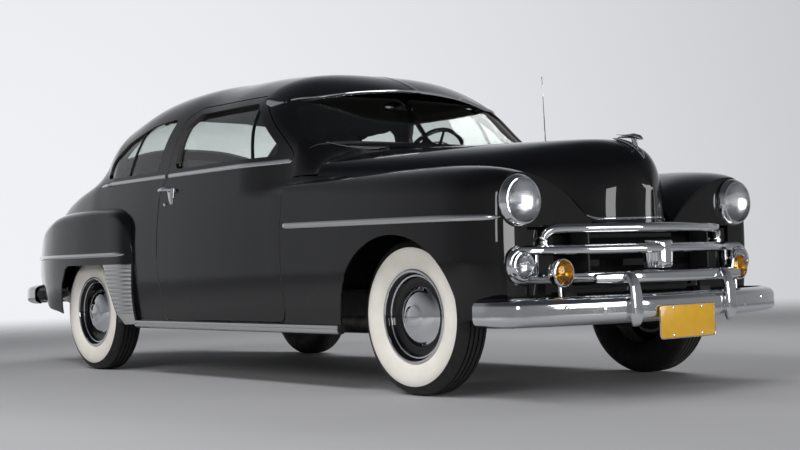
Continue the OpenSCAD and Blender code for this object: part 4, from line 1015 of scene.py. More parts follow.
for name, side in SIDES:
    wheel("front_" + name, AXLE_F, side * HALF_TRACK_F)
for name, side in SIDES:
    wheel("rear_" + name, AXLE_R, side * HALF_TRACK_R)


# Bright strips that lie on a curved side: points are x and z, y_of gives the half width there
def surface_normal(y_of, x, z):
    step = 2.0
    slope_x = (y_of(x + step, z) - y_of(x - step, z)) / (2 * step)
    slope_z = (y_of(x, z + step) - y_of(x, z - step)) / (2 * step)
    n = np.stack([-slope_x, np.ones_like(slope_x), -slope_z], axis=-1)
    return n / np.linalg.norm(n, axis=-1)[..., None]


def strip(name, points, y_of, width, rise, side, tapers, count=90):
    path = even_steps(points, count)
    x = path[:, 0]
    z = path[:, 1]
    base = np.column_stack([x, y_of(x, z), z])
    out = surface_normal(y_of, x, z)
    ahead = np.gradient(base, axis=0)
    ahead = ahead / np.linalg.norm(ahead, axis=1)[:, None]
    across = np.cross(out, ahead)
    run = np.concatenate([[0], np.cumsum(np.linalg.norm(np.diff(base, axis=0), axis=1))])
    size = np.ones(count)
    for reach, left in ((tapers[0], run), (tapers[1], run[-1] - run)):
        if reach:
            size = np.minimum(size, np.sqrt(np.clip(left / reach, 0.0, 1.0)) * 0.94 + 0.06)
    a = np.linspace(0, math.pi, 15)
    section = np.column_stack([width / 2 * np.cos(a), rise * np.sin(a) ** 0.8])
    section = np.vstack([section, [[-width / 2, -1.5], [width / 2, -1.5]], section[:1]])
    rows = [base[k] + size[k] * (section[:, :1] * across[k] + section[:, 1:] * out[k]) for k in range(count)]
    rows = [np.repeat(base[:1], len(section), axis=0)] + rows + [np.repeat(base[-1:], len(section), axis=0)]
    return smooth(weld(skin(name, mirrored_rows(rows, side))), 45)


# Side strips, each with its path, surface, width, rise and end tapers, and what the doors carry
def mouldings():
    quarter_line = [(along(0.044), BELT - 7), (along(0.096), BELT), (along(0.3185), BELT)]
    strips = (
        ("front_spear", [(SPLIT_X + 22, 760), (nose(0.655), 741)], fender_side, 29, 11, (6, 60)),
        ("rear_spear", [(tail(0.80), 667), (along(0.192), 665)], rear_fender_side, 26, 10, (8, 70)),
        ("quarter_belt", quarter_line, body_half_at, 23, 7, (90, 0)))
    door_line = [(along(0.331), BELT), (DOOR_FRONT - 10, BELT)]
    fixed = []
    for name, side in SIDES:
        for piece, points, y_of, width, rise, tapers in strips:
            fixed.append(strip(piece, points, y_of, width, rise, side, tapers))
        fittings = [strip("door_belt", door_line, body_half_at, 23, 7, side, (0, 5))] + handle(side)
        bright = joined("door_bright_" + name, fittings)
        settle(bright, chrome, "door_" + name, "bright", "door_fittings_" + name)
        vent = glass_bar("vent_bar_" + name, side, (28, 322), (7, 347), (478, 408), 21, (14, 20))
        settle(vent, black_paint, "door_" + name, "body_paint")
        divider = glass_bar("quarter_bar_" + name, side, (26, 312), (32, 300), (-806, -676), 12, (16, 18))
        settle(divider, black_paint, "car", "body_paint")
        fixed.append(sill_strip(side))
    settle(joined("body_bright_strips", fixed), stainless, "car", "bright", "body_mouldings")


# Pull handle on a pointed plate, with a lock below it
def handle(side):
    x = DOOR_REAR + 128
    y = float(body_half_at(x, BELT - 80))
    plate_path = [(x + 2, BELT - 66), (x + 8, BELT - 100), (x + 20, BELT - 158)]
    plate = strip("handle_plate", plate_path, body_half_at, 76, 16, side, (10, 104), 40)
    lever = [(x + 30, y + 16, BELT - 76), (x + 12, y + 34, BELT - 74), (x - 20, y + 41, BELT - 74),
             (x - 60, y + 38, BELT - 77), (x - 78, y + 33, BELT - 79)]
    grip = tapered("handle_grip", np.array(lever) * np.array([1, side, 1]), 30, oval(17, 22), (0, 0, 1),
                   (0, 0.1, 0.5, 0.9, 1), (0.9, 1, 1.05, 0.8, 0.45))
    lock_y = float(body_half_at(x - 52, BELT - 152))
    lock = turned("door_lock", [(0, 9), (6, 9), (9, 7), (11, 0), (11, -3)], (0, 0, 0), "y", 32)
    rows = vertex_rows(lock)
    rows[:, 1] = side * np.abs(rows[:, 1])
    put_vertices(lock, rows + np.array([x - 52, side * lock_y, BELT - 152]))
    return [plate, grip, weld(lock)]


# Slanting bar in a side window: its reach above the belt, two heights with their x, and its depth
def glass_bar(name, side, reach, heights, places, depth, size):
    z = np.linspace(BELT + reach[0], BELT + reach[1], 24)
    x = np.interp(z, [BELT + h for h in heights], places)
    y = body_half_at(x, z) - depth
    return swept(name, np.column_stack([x, side * y, z]), oval(*size), (1, 0, 0))


def sill_strip(side):
    section = [(0, 299), (4, 297), (6, 290), (4.5, 284), (6.5, 281),
               (5, 268), (-4, 260), (-16, 257), (-34, 262), (-34, 299)]
    xs = spots(REAR_FENDER_FRONT + 12, AXLE_F - ARCH_HALF - 22, 60)
    rows = [[(x, 868 + y, z) for y, z in section + section[:1]] for x in xs]
    return smooth(weld(skin("sill_strip", mirrored_rows(capped(rows), side))), 40)


# Ribbed shields on the front of the rear fenders
def stone_guards():
    heights = np.arange(276.0, 611.0, 1.75)
    edge = np.interp(heights, [273, 300, 327, 446, 599, 611], [-748, -776, -816, -872, -938, -945])
    rim = np.ones(26)
    rim[[0, -1]] = 0
    rows = []
    for z, back in zip(heights, edge):
        x = np.linspace(REAR_FENDER_FRONT - 6, back, 26)
        y = rear_fender_side(x, np.full(26, z))
        inside = (z > 336) & (z < 592)
        rib = 3.4 * abs(math.sin((z - 336) / RIB_PITCH * math.pi)) ** 0.7 if inside else 2.6
        top = min(1.0, (610.5 - z) / 4, (z - 275) / 4)
        rows.append(np.column_stack([x, y + 1.2 + rib * rim * top, np.full(26, z)]))
    for name, side in SIDES:
        guard = skin("stone_guard_" + name, mirrored_rows(rows, side))
        thicken(face_away(guard, (-800, 0, 500)), 1.6)
        settle(smooth(weld(guard), 50), stainless, "car", "bright", "stone_guards")


# Bumpers: a deep channel section swept along a bow with tight ends
def bow_stops(face_x, bow_r, half_chord, corner_r, wrap):
    turn = math.asin(half_chord / bow_r)
    stops = []
    angles = list(np.linspace(-math.pi / 2, -turn, 20)) + list(np.linspace(-turn, turn, 49))[1:-1]
    angles += list(np.linspace(turn, math.pi / 2, 20))
    for a in angles:
        over = abs(a) > turn + 1e-9
        r = corner_r if over else bow_r
        cx = face_x - bow_r + ((bow_r - corner_r) * math.cos(turn) if over else 0)
        cy = math.copysign((bow_r - corner_r) * math.sin(turn), a) if over else 0
        stops.append((cx + r * math.cos(a), cy + r * math.sin(a), a, 0.0))
    before = [(*stops[0][:3], wrap * s) for s in (1.0, 0.66, 0.33)]
    after = [(*stops[-1][:3], wrap * s) for s in (0.33, 0.66, 1.0)]
    return before + stops + after


def bumper_section(height, depth):
    t = np.linspace(-1, 1, 33)
    face = np.column_stack([-depth * np.abs(t) ** 4.5, height / 2 * np.sign(t) * np.abs(t) ** 0.9])
    face[:, 0] -= 1.6 * np.exp(-((t - 0.62) / 0.05) ** 2)
    inner = face[::-1] * np.array([1.0, 0.93]) - np.array([4.0, 0.0])
    return np.vstack([face, inner, face[:1]])


def bumper_bar(name, stops, section, z, turn):
    rows = []
    for px, py, a, back in stops:
        ring = [(px + d * math.cos(a) - back, py + d * math.sin(a), h) for d, h in section]
        rows.append([(x * turn, y * turn, z + h) for x, y, h in ring])
    return smooth(weld(skin(name, capped(rows))), 40)


def bolt_head(name, centre, axis, r=9, h=6):
    profile = [(0, h), (r * 0.5, h * 0.95), (r * 0.86, h * 0.6), (r, 0), (r, -2)]
    return turned(name, profile, centre, axis, 24)


def bracket(name, low, high):
    deselect()
    bpy.ops.mesh.primitive_cube_add(size=1.0)
    piece = bpy.context.object
    piece.name = name
    low = np.array(low, float)
    high = np.array(high, float)
    put_vertices(piece, (vertex_rows(piece) * MM + 0.5) * (high - low) + low)
    bpy.ops.object.mode_set(mode="EDIT")
    bpy.ops.mesh.select_all(action="SELECT")
    bpy.ops.mesh.bevel(offset=min(high - low) * 0.14 * MM, segments=3, affect="EDGES")
    bpy.ops.object.mode_set(mode="OBJECT")
    return smooth(piece, 40)


def front_bumper():
    face = FRONT_X - 6
    parts = [bumper_bar("bar", bow_stops(face, BUMPER_BOW, 780, 160, 60), bumper_section(116, 42), 358, 1)]
    for side in (-1, 1):
        y = side * 300
        path = [(2462, y, 290), (2470, y, 298), (2474, y, 320), (2475, y, 360), (2474, y, 410),
                (2468, y, 450), (2458, y, 480), (2446, y, 497), (2432, y, 503)]
        parts.append(tapered("guard", path, 40, rounded_bar(66, 30, 13), (1, 0, 0.01),
                             (0, 0.06, 0.2, 0.5, 0.8, 0.95, 1), (0.45, 0.8, 1, 0.96, 0.82, 0.7, 0.5)))
        parts.append(bracket("iron", (nose(0.70), side * 430 - 25, 338), (face - 44, side * 430 + 25, 378)))
        bolt_x = face - BUMPER_BOW + math.sqrt(BUMPER_BOW**2 - 620**2)
        parts.append(bolt_head("bumper_bolt", (bolt_x - 1, side * 620, 372), "x", 11, 6))
    rider = grille_arc(RIDER_BOW, face - 40, 456, 484, 41)
    sizes = np.interp(np.abs(rider[:, 1]), [0, 380, 456], [1, 1, 0.82])
    parts.append(swept("over_rider", rider, rounded_bar(30, 46, 13), (0, 0, 1), sizes))
    settle(joined("front_bumper_bright", parts), chrome, "car", "bright", "front_bumper")


def rear_bumper():
    parts = [bumper_bar("bar", bow_stops(FRONT_X - 3, 2400, 620, 260, 60), bumper_section(116, 42), 440, -1)]
    for side in (-1, 1):
        y = side * 300
        path = [(-2466, y, 374), (-2474, y, 392), (-2476, y, 440),
                (-2474, y, 490), (-2464, y, 530), (-2452, y, 552)]
        parts.append(tapered("guard", path, 34, rounded_bar(60, 28, 12), (-1, 0, 0.01),
                             (0, 0.08, 0.3, 0.7, 0.92, 1), (0.5, 0.85, 1, 0.95, 0.75, 0.5)))
        parts.append(bracket("iron", (-FRONT_X + 54, side * 430 - 25, 450),
                             (tail(0.82), side * 430 + 25, 490)))
    settle(joined("rear_bumper_bright", parts), chrome, "car", "bright", "rear_bumper")


def grille_arc(bow_r, face, half, z, count=49):
    a = np.linspace(-1, 1, count) * math.asin(half / bow_r)
    return np.column_stack([face - bow_r + bow_r * np.cos(a), bow_r * np.sin(a), np.full(count, float(z))])


# Two bars joined round the parking lamps, a tube above them and a fluted block in the middle
def grille():
    tube = grille_arc(1148, 2361, 503, 690)
    ends = []
    for side, tip in ((-1, tube[0]), (1, tube[-1])):
        bend = []
        for a in np.linspace(0, math.pi / 2, 9)[1:]:
            swing = math.sin(a)
            bend.append((tip[0] - 34 * swing, tip[1] + side * 52 * swing, tip[2] - 46 * (1 - math.cos(a))))
        bend.append((bend[-1][0] + 4, bend[-1][1], bend[-1][2] - 34))
        ends.append(bend)
    path = np.array(ends[0][::-1] + [tuple(p) for p in tube] + ends[1])
    parts = [tapered("upper_tube", path, 90, oval(42, 42, 20), (0.05, 0, 1))]
    across = np.linspace(-PARKING_Y, PARKING_Y, 81)
    lean = np.linspace(0, math.pi, 15)[1:-1]
    round_lamp = [(PARKING_Y + LOOP_R * math.sin(a), LOOP_R * math.cos(a)) for a in lean]
    way = [(y, LOOP_R) for y in across] + round_lamp
    way = np.array(way + [(-y, -z) for y, z in way]) + np.array([0, LOOP_Z])
    bow = 2375 - LOOP_BOW + np.sqrt(LOOP_BOW**2 - way[:, 0] ** 2)
    front = LOOP_BACK + 14 * np.log1p(np.exp((bow - LOOP_BACK) / 14))
    wide = np.array([(20, -16), (21, 4), (14, 15), (0, 17), (-12, 14), (-21, 2), (-18, -16)], float)
    wide = even_steps(np.vstack([wide, wide[:1]]), 29)[:-1]
    parts.append(swept("lamp_loop", np.column_stack([front, way]), wide, (1, 0, 0), None, True))
    parts.append(centre_block())
    x = float(np.interp(604, across[40:], front[40:81]))
    for side in (-1, 1):
        parts.append(bracket("loop_clip", (x - 14, side * 604 - 9, 508), (x + 6, side * 604 + 9, 586)))
    settle(joined("grille_bright", parts), chrome, "car", "bright", "grille")
    stays = [bracket("stay", (FENDER_FRONT - 1, y - 5, 486), (2300, y + 5, 690)) for y in (-380, 380)]
    stays.append(bracket("middle_stay", (FENDER_FRONT - 1, -60, 484), (2356, 60, 494)))
    settle(joined("grille_stays", stays), under_paint, "car", "under_paint")


# Bowed block with upright flutes on both shoulders and a bare middle
def centre_block():
    t = np.linspace(-1, 1, 81)
    shoulder = (np.abs(t) > 0.40) & (np.abs(t) < 0.95)
    flutes = np.where(shoulder, 2.6 * np.cos(2 * math.pi * (np.abs(t) - 0.40) / 0.11) - 2.6, 0.0)
    swell = 63 * np.maximum(0.0, 1 - np.abs(t) ** 2.3) ** 0.62
    rows = []
    for s in np.linspace(-1, 1, 23):
        soft = 1 - 0.10 * abs(s) ** 8
        z = 576.5 + 57.5 * s
        half = 80 + 6 * s
        ahead = 2329 + (swell + flutes * (abs(s) < 0.9)) * soft
        ring = [(x, half * k, z) for x, k in zip(ahead, t)]
        rows.append(ring + [(2326, half * k, z) for k in t[::-1]] + ring[:1])
    return smooth(weld(skin("centre_block", capped(rows))), 35)


# Finned core behind the front panel, with a tank above and below
def radiator():
    y = np.linspace(-380, 380, 191)
    x = 2181 - 7.0 * (np.arange(191) % 2)
    core = skin("radiator_core", [np.column_stack([x, y, np.full(191, z)]) for z in (446.0, 560.0, 662.0)])
    parts = [weld(thicken(core, 5))]
    for z in (446, 662):
        tank = [(2170, k, z) for k in np.linspace(-386, 386, 12)]
        parts.append(swept("radiator_tank", tank, rounded_bar(26, 24, 7)))
    for k in (-383, 383):
        parts.append(bracket("radiator_side", (2158, k - 5, 444), (FENDER_FRONT - 11.7, k + 5, 664)))
    settle(joined("radiator", parts), under_paint, "car", "under_paint")


# Bright lip along the lower front edge of the bonnet
def bonnet_lip():
    xs = np.linspace(nose(0.618), nose(0.797), 40)
    half, edge = columns_at(BONNET_CURVES, 1, 3, xs)
    half = half + 1
    path = np.concatenate([np.column_stack([xs, -half, edge]), np.column_stack([xs, half, edge])[::-1]])
    settle(tapered("bonnet_lip", path, 120, oval(8, 13)), chrome, "bonnet", "bright")


# Lamps: a bezel with what is joined to it, a glass front and a dished reflector, all turned about x
def lamp(name, centre, profiles, finish, bezel_node, glass_nodes=(), fixings=()):
    bezel, front, dish = profiles
    bright = joined(name + "_bezel", [turned(name + "_bezel", bezel, centre, "x", 72)] + list(fixings))
    cover = turned(name + "_glass", front, centre, "x", 72)
    back = turned(name + "_dish", dish, centre, "x", 64)
    settle(bright, chrome, "car", "bright", bezel_node)
    settle(cover, finish, "car", "lens", *glass_nodes)
    settle(back, reflector, "car", "bright")


def headlamps():
    bezel = [(87, 2), (107, 2), (108.5, 8), (107.5, 16), (104, 25), (100, 31), (97, 37), (94, 40), (90, 40.5),
             (88, 38), (87, 34), (87, 2)]
    front = [(87.5, 33), (86, 36), (70, 43), (50, 48.5), (25, 51.5), (0, 52.5), (0, 50), (25, 49), (50, 46),
             (70, 40.5), (84, 34), (87.5, 33)]
    dish = [(87, 31), (76, 25), (55, 18), (30, 13.5), (14, 12), (14, 26), (9, 30), (0, 31)]
    for name, side in SIDES:
        centre = (FENDER_FRONT + 0.3, side * LAMP_Y, LAMP_Z)
        lamp("headlamp_" + name, centre, (bezel, front, dish), fluted_glass,
             "headlamp_rings", ("headlamp_lenses",))


def parking_lamps():
    bezel = [(46, 2), (60, 2), (62, 14), (63, 26), (61, 36), (57, 41), (52, 42), (49, 40), (47, 34), (46, 2)]
    front = [(48, 35), (45, 42), (36, 49), (22, 54), (0, 56),
             (0, 53), (20, 51.5), (34, 47), (44, 39), (48, 35)]
    dish = [(46.5, 33), (36, 25), (18, 20), (8, 19.5), (8, 32), (0, 36)]
    for name, side in SIDES:
        centre = (FENDER_FRONT + 0.3, side * PARKING_Y, 542)
        lamp("parking_lamp_" + name, centre, (bezel, front, dish), fluted_glass, "parking_lamps")


def fog_lamps():
    x = nose(0.727)
    shell = [(0, 0), (16, 2), (34, 10), (46, 24), (54, 44), (57.5, 62), (58, 68),
             (56, 73), (52, 74), (50, 70), (50, 64), (44, 44), (30, 24), (0, 14)]
    front = [(51, 66), (49, 71), (38, 76), (22, 80), (0, 82), (0, 79), (22, 77), (38, 73), (48, 67), (51, 66)]
    dish = [(50, 63), (36, 48), (18, 38), (8, 36), (8, 54), (0, 58)]
    for name, side in SIDES:
        y = side * 560
        path = [(x + 44, y, 400), (x + 44, y, 430), (x + 42, y, 460)]
        post = swept("fog_post", path, oval(18, 18), (1, 0, 0))
        foot = bracket("fog_foot", (x + 30, y - 20, 400), (x + 62, y + 20, 408))
        lamp("fog_lamp_" + name, (x, y, 510), (shell, front, dish), amber_glass,
             "fog_lamps", (), (post, foot))


def tail_lamps():
    bezel = [(30, 0), (41, 0), (42, -8), (40, -14), (36, -18), (32, -18), (30, -14), (30, 0)]
    red = [(31, -4), (31, -16), (28, -24), (18, -30), (0, -33), (0, -4)]
    for name, side in SIDES:
        centre = (tail(0.872) - 0.3, side * (REAR_FENDER_W - 372), BELT - 470)
        settle(turned("tail_bezel_" + name, bezel, centre, "x", 56), chrome, "car", "bright")
        settle(turned("tail_lens_" + name, red, centre, "x", 56), red_glass, "car", "red_lens", "tail_lamps")


# Bare yellow plate with a raised bright frame and four bolts
def licence_plate():
    x = FRONT_X - 6 + 0.4
    outline = rounded([(-177, 226), (177, 226), (177, 366), (-177, 366)], 16)
    plate = prism(outline, "x", x, x + 2.4)
    plate.name = "licence_plate"
    apply_modifier(plate, "BEVEL", width=0.8 * MM, segments=2,
                   limit_method="ANGLE", angle_limit=math.radians(50))
    settle(smooth(plate, 35), plate_enamel, "car", "plate", "licence_plate")
    edge = rounded([(-175, 228), (175, 228), (175, 364), (-175, 364)], 15, 10)
    parts = [swept("plate_frame", [(x + 2.6, y, z) for y, z in edge], oval(5, 5, 10), (1, 0, 0), None, True)]
    for y in (-90, 90):
        for z in (352, 240):
            parts.append(bolt_head("plate_bolt", (x + 2.4, y, z), "x", 7, 3))
    settle(joined("plate_frame", parts), chrome, "car", "bright")


# The share of a half width where the roof's and bonnet's curves are cut off
NEAR_EDGE = 0.9995


# Height of the roof, or of the bonnet ahead of it, above a place seen from the top
def roof_at(x, y):
    zt, zr, n = columns_at(BODY_CURVES, 3, 6, x)
    h = zr - zt
    w = side_half(x, zt)
    rise = h * 0
    for _ in range(6):
        last = rise
        across = np.minimum(NEAR_EDGE, np.abs(y) / (w - ROOF_LEAN * rise))
        rise = h * np.maximum(0, 1 - across**n) ** (1 / n)
    wide, edge, crown, power = columns_at(BONNET_CURVES, 1, 5, COWL_END + PANEL_GAP)
    lid = edge + (crown - edge) * (1 - np.minimum(NEAR_EDGE, np.abs(y) / wide) ** power) ** (1 / power)
    share = ease((x - COWL_FLOW) / (COWL_END - COWL_FLOW))
    return (1 - share) * (zt + (rise + last) / 2) + share * lid


VISOR_BACK = along(0.588)
VISOR_FRONT = along(0.7015)


# Sun visor over the screen: a black shell with a bright lower lip and end brackets
def sun_visor():
    rows = []
    ys = np.linspace(-706, 706, 95)
    back = roof_at(np.full(95, VISOR_BACK), ys)
    front = 1452 - 0.000156 * ys * ys
    for u in np.linspace(0, 1, 29):
        x = VISOR_BACK + u * (VISOR_FRONT - 0.00034 * ys * ys - VISOR_BACK)
        z = back + 8 + (front - back - 8) * (0.35 * u + 0.65 * u * u) + 3.0 * np.exp(-(ys / 9.0) ** 2)
        skin_z = roof_at(x, ys) + 2
        z = skin_z + 7 * np.log1p(np.exp((z - 4 * (1 - u) ** 6 - skin_z) / 7))
        rows.append(np.column_stack([x, ys, z]))
    visor = panel("sun_visor", rows, (500, 0, 1000), 7)
    settle(smooth(visor, 40), black_paint, "car", "body_paint", "sun_visor")
    lip = rows[-1][2:-2] + np.array([2.0, 0, -6.0])
    parts = [swept("visor_lip", lip, rounded_bar(7, 17, 3), (0.3, 0, 1))]
    for side, end in ((-1, rows[-1][0]), (1, rows[-1][-1])):
        arm = [(6, -side * 16, -8), (-28, side * 10, -10), (-66, side * 26, -2), (-96, side * 36, 8)]
        parts.append(tapered("visor_bracket", end + np.array(arm), 24, rounded_bar(10, 30, 4), (0, 0, 1),
                             (0, 0.4, 0.8, 1), (0.7, 1, 1.15, 0.8)))
        leg = [(-40, side * 14, -10), (-24, side * 18, -34), (-10, side * 20, -54)]
        parts.append(tapered("visor_leg", end + np.array(leg), 14, rounded_bar(9, 16, 4), (0, side, 0),
                             (0, 1), (1, 0.55)))
    settle(joined("visor_bright", parts), chrome, "car", "bright")


# Screen wipers lying along the foot of the glass
def wipers():
    parts = []
    for side in (-1, 1):
        pivot = np.array([along(0.7555), side * 330, 0.0])
        tip = np.array([along(0.731), side * 640, 0.0])
        pivot[2] = float(roof_at(pivot[0], pivot[1]))
        line = pivot + (tip - pivot) * np.linspace(0, 1, 24)[:, None]
        line[:, 2] = roof_at(line[:, 0], line[:, 1]) + 11
        parts.append(swept("wiper_arm", line[:15], oval(7, 9, 10), (0, 0, 1), np.linspace(1.2, 0.8, 15)))
        parts.append(swept("wiper_blade", line[3:] - np.array([0, 0, 5]), oval(5, 9, 10)))
        parts.append(turned("wiper_post", [(13, -6), (13, 4), (11, 12), (7, 17), (0, 18)], pivot, "z", 28))
    settle(joined("wipers", parts), control_gloss, "car", "control", "wipers")


def aerial():
    x = along(0.762)
    y = BODY_W - 136
    z = float(roof_at(x - 4, y))
    lean = math.tan(math.radians(-2))
    heights = np.array([z - 2, z + 40, z + 120, z + 121, z + 300, z + 301,
                        BELT + 474, BELT + 476, BELT + 479])
    widths = [9, 8, 7.4, 6, 5.6, 4.4, 4, 6.5, 4]
    path = np.column_stack([x + lean * (heights - BELT), np.full(9, y), heights])
    mast = swept("aerial_mast", path, oval(1, 1, 12), (1, 0, 0), widths)
    foot = [(15, -6), (15, 3), (13, 9), (9, 20), (7, 44), (5, 46), (0, 46)]
    base = turned("aerial_base", foot, (x, y, z), "z", 32)
    settle(joined("aerial_bright", [mast, base]), chrome, "car", "bright", "aerial")


# Streamlined bonnet ornament: a low spear, and a finned dart on a stem
def bonnet_ornament():
    xs = np.linspace(nose(0.545), nose(0.752), 50)
    path = np.column_stack([xs, np.zeros(50), column(BONNET_CURVES, 3, xs) + 6])
    sizes = np.interp(np.linspace(0, 1, 50), [0, 0.15, 0.6, 0.9, 1], [0.15, 0.6, 1, 0.9, 0.3])
    parts = [swept("ornament_spear", path, oval(30, 20, 20), (0, 0, 1), sizes)]
    crest = np.array([nose(0.690), 0, BONNET_TOP])
    dart = [(-92, 0, -17), (-40, 0, -16), (0, 0, -19), (26, 0, -26), (48, 0, -36)]
    parts.append(tapered("ornament_dart", crest + np.array(dart), 40, oval(34, 24, 20), (0, 0, 1),
                         (0, 0.2, 0.6, 0.85, 1), (0.2, 0.55, 1, 0.9, 0.25)))
    stem = [(6, 0, -72), (2, 0, -46), (-6, 0, -22)]
    parts.append(tapered("ornament_stem", crest + np.array(stem), 16, oval(16, 26, 16), (1, 0, 0)))
    for side in (-1, 1):
        fin = [(14, side * 10, -22), (-20, side * 26, -15), (-70, side * 36, -8)]
        parts.append(tapered("ornament_fin", crest + np.array(fin), 20, oval(26, 6, 14), (0, 0, 1),
                             (0, 0.4, 1), (0.5, 1, 0.25)))
    settle(joined("bonnet_ornament_bright", parts), chrome, "bonnet", "bright", "bonnet_ornament")


mouldings()
stone_guards()
front_bumper()
rear_bumper()
grille()
radiator()
bonnet_lip()
headlamps()
parking_lamps()
fog_lamps()
tail_lamps()
licence_plate()
sun_visor()
wipers()
aerial()
bonnet_ornament()

# Bench seats: stuffed cushions and backs with pleats and piping, on plain bases
def stuffed(name, size, place, lean):
    deselect()
    bpy.ops.mesh.primitive_cube_add(size=1.0)
    pad = bpy.context.object
    pad.name = name
    pad.data.name = name
    put_vertices(pad, vertex_rows(pad) * MM * (np.array(size) - 16))
    bpy.ops.object.mode_set(mode="EDIT")
    bpy.ops.mesh.select_all(action="SELECT")
    bpy.ops.mesh.bevel(offset=26 * MM, segments=4, affect="EDGES")
    bpy.ops.object.mode_set(mode="OBJECT")
    apply_modifier(pad, "REMESH", mode="VOXEL", voxel_size=11 * MM)
    start = vertex_rows(pad)
    pick(pad)
    stuffing = pad.modifiers.new("stuffing", "CLOTH")
    stuffing.settings.use_pressure = True
    stuffing.settings.uniform_pressure_force = 4.0
    stuffing.settings.effector_weights.gravity = 0.0
    for step in range(1, 21):
        scene.frame_set(step)
    bpy.ops.object.modifier_apply(modifier=stuffing.name)
    scene.frame_set(1)
    swell = vertex_rows(pad)
    moved = swell - start
    far = np.linalg.norm(moved, axis=1)[:, None]
    swell = start + moved * np.minimum(1.0, SWELL_CAP / np.maximum(far, 1e-6))
    put_vertices(pad, swell)
    apply_modifier(pad, "SUBSURF", levels=1, render_levels=1)
    rows = vertex_rows(pad)
    facing = np.clip((rows[:, 2] / size[2] + 0.1) * 4, 0, 1)
    inside = np.clip((0.46 - np.abs(rows[:, 0] / size[0])) * 30, 0, 1)
    inside *= np.clip((0.47 - np.abs(rows[:, 1] / size[1])) * 40, 0, 1)
    across = (rows[:, 1] + PLEAT * 50) % PLEAT
    seam = np.minimum(across, PLEAT - across)
    rows[:, 2] -= 7 * np.exp(-(seam / 7) ** 2) * facing * inside
    turn = np.array(Matrix.Rotation(lean, 3, "Y"))
    put_vertices(pad, rows @ turn.T + np.array(place))
    return smooth(pad, 60)


def piping(size, place, lean):
    u = size[0] / 2 - 6
    v = size[1] / 2 - 6
    loop = np.array(rounded([(-u, -v), (u, -v), (u, v), (-u, v)], 26, 6))
    path = np.column_stack([loop, np.full(len(loop), size[2] / 2 - 20)])
    turn = np.array(Matrix.Rotation(lean, 3, "Y"))
    return swept("piping", path @ turn.T + np.array(place), oval(9, 9, 10), (0, 0.01, 1), None, True)


# Each row: name, cushion size and middle, back size, middle and lean, base box
SEATS = (
    ("front", (368, 1268, 128), (108, 0, 588), (396, 1264, 120), (-208, 0, 806), -1.24,
     (-236, -630, 440), (276, 630, 524)),
    ("rear", (330, 1108, 128), (-612, 0, 580), (386, 1100, 112), (-878, 0, 792), -1.15,
     (-930, -552, 440), (-484, 552, 516)))


def seats():
    for name, size, place, back_size, back_place, lean, low, high in SEATS:
        pads = (("_cushion", size, place, CUSHION_LEAN), ("_backrest", back_size, back_place, lean))
        for part, *shape in pads:
            settle(stuffed(name + part, *shape), seat_cloth, "car", "seat_cloth", name + "_seat")
        edges = [piping(*shape) for part, *shape in pads]
        settle(joined(name + "_seat_piping", edges), trim_card, "car", "seat_cloth")
        settle(bracket(name + "_seat_base", low, high), trim_card, "car", "seat_cloth")


# Steering wheel: rim, three spokes, horn ring and a bare domed button
def steering_wheel():
    hub = np.array([along(0.600), 370, BELT + 20])
    turn = np.array(Matrix.Rotation(math.radians(120), 3, "Y"))
    middle = (0, 0, 0)

    def spoke(name, angle, stops, count, section, sizes=(1, 1)):
        a = math.radians(angle)
        points = [(r * math.cos(a), r * math.sin(a), z) for r, z in stops]
        return tapered(name, points, count, section, (0, 0, 1), (0, 1), sizes)

    dark = [turned("wheel_rim", bead(205, -30, 11.5, 13), middle, "z", 96)]
    for angle in (60, 180, 300):
        dark.append(spoke("wheel_spoke", angle, ((34, -16), (110, -24), (200, -30)), 14,
                          oval(22, 10), (1.1, 0.8)))
    boss = [(14, 11), (14, -4), (38, -6), (41, -20), (38, -32), (30, -36), (0, -36)]
    dark.append(turned("wheel_hub", boss, middle, "z", 48))
    bright = [turned("horn_ring", bead(128, -36, 4, 4, 11), middle, "z", 72)]
    button = [(29, -35), (29, -38), (24, -42), (12, -45), (0, -46)]
    bright.append(turned("horn_button", button, middle, "z", 40))
    for angle in (60, 180, 300):
        bright.append(spoke("horn_arm", angle, ((28, -38), (126, -37)), 6, oval(7, 6)))
    for parts, name, material, slot, nodes in (
            (dark, "steering_wheel", control_gloss, "control", ["steering_wheel"]),
            (bright, "horn_ring", chrome, "bright", [])):
        piece = joined(name + "_piece", parts)
        put_vertices(piece, vertex_rows(piece) @ turn.T + hub)
        settle(piece, material, "steering_wheel", slot, *nodes)


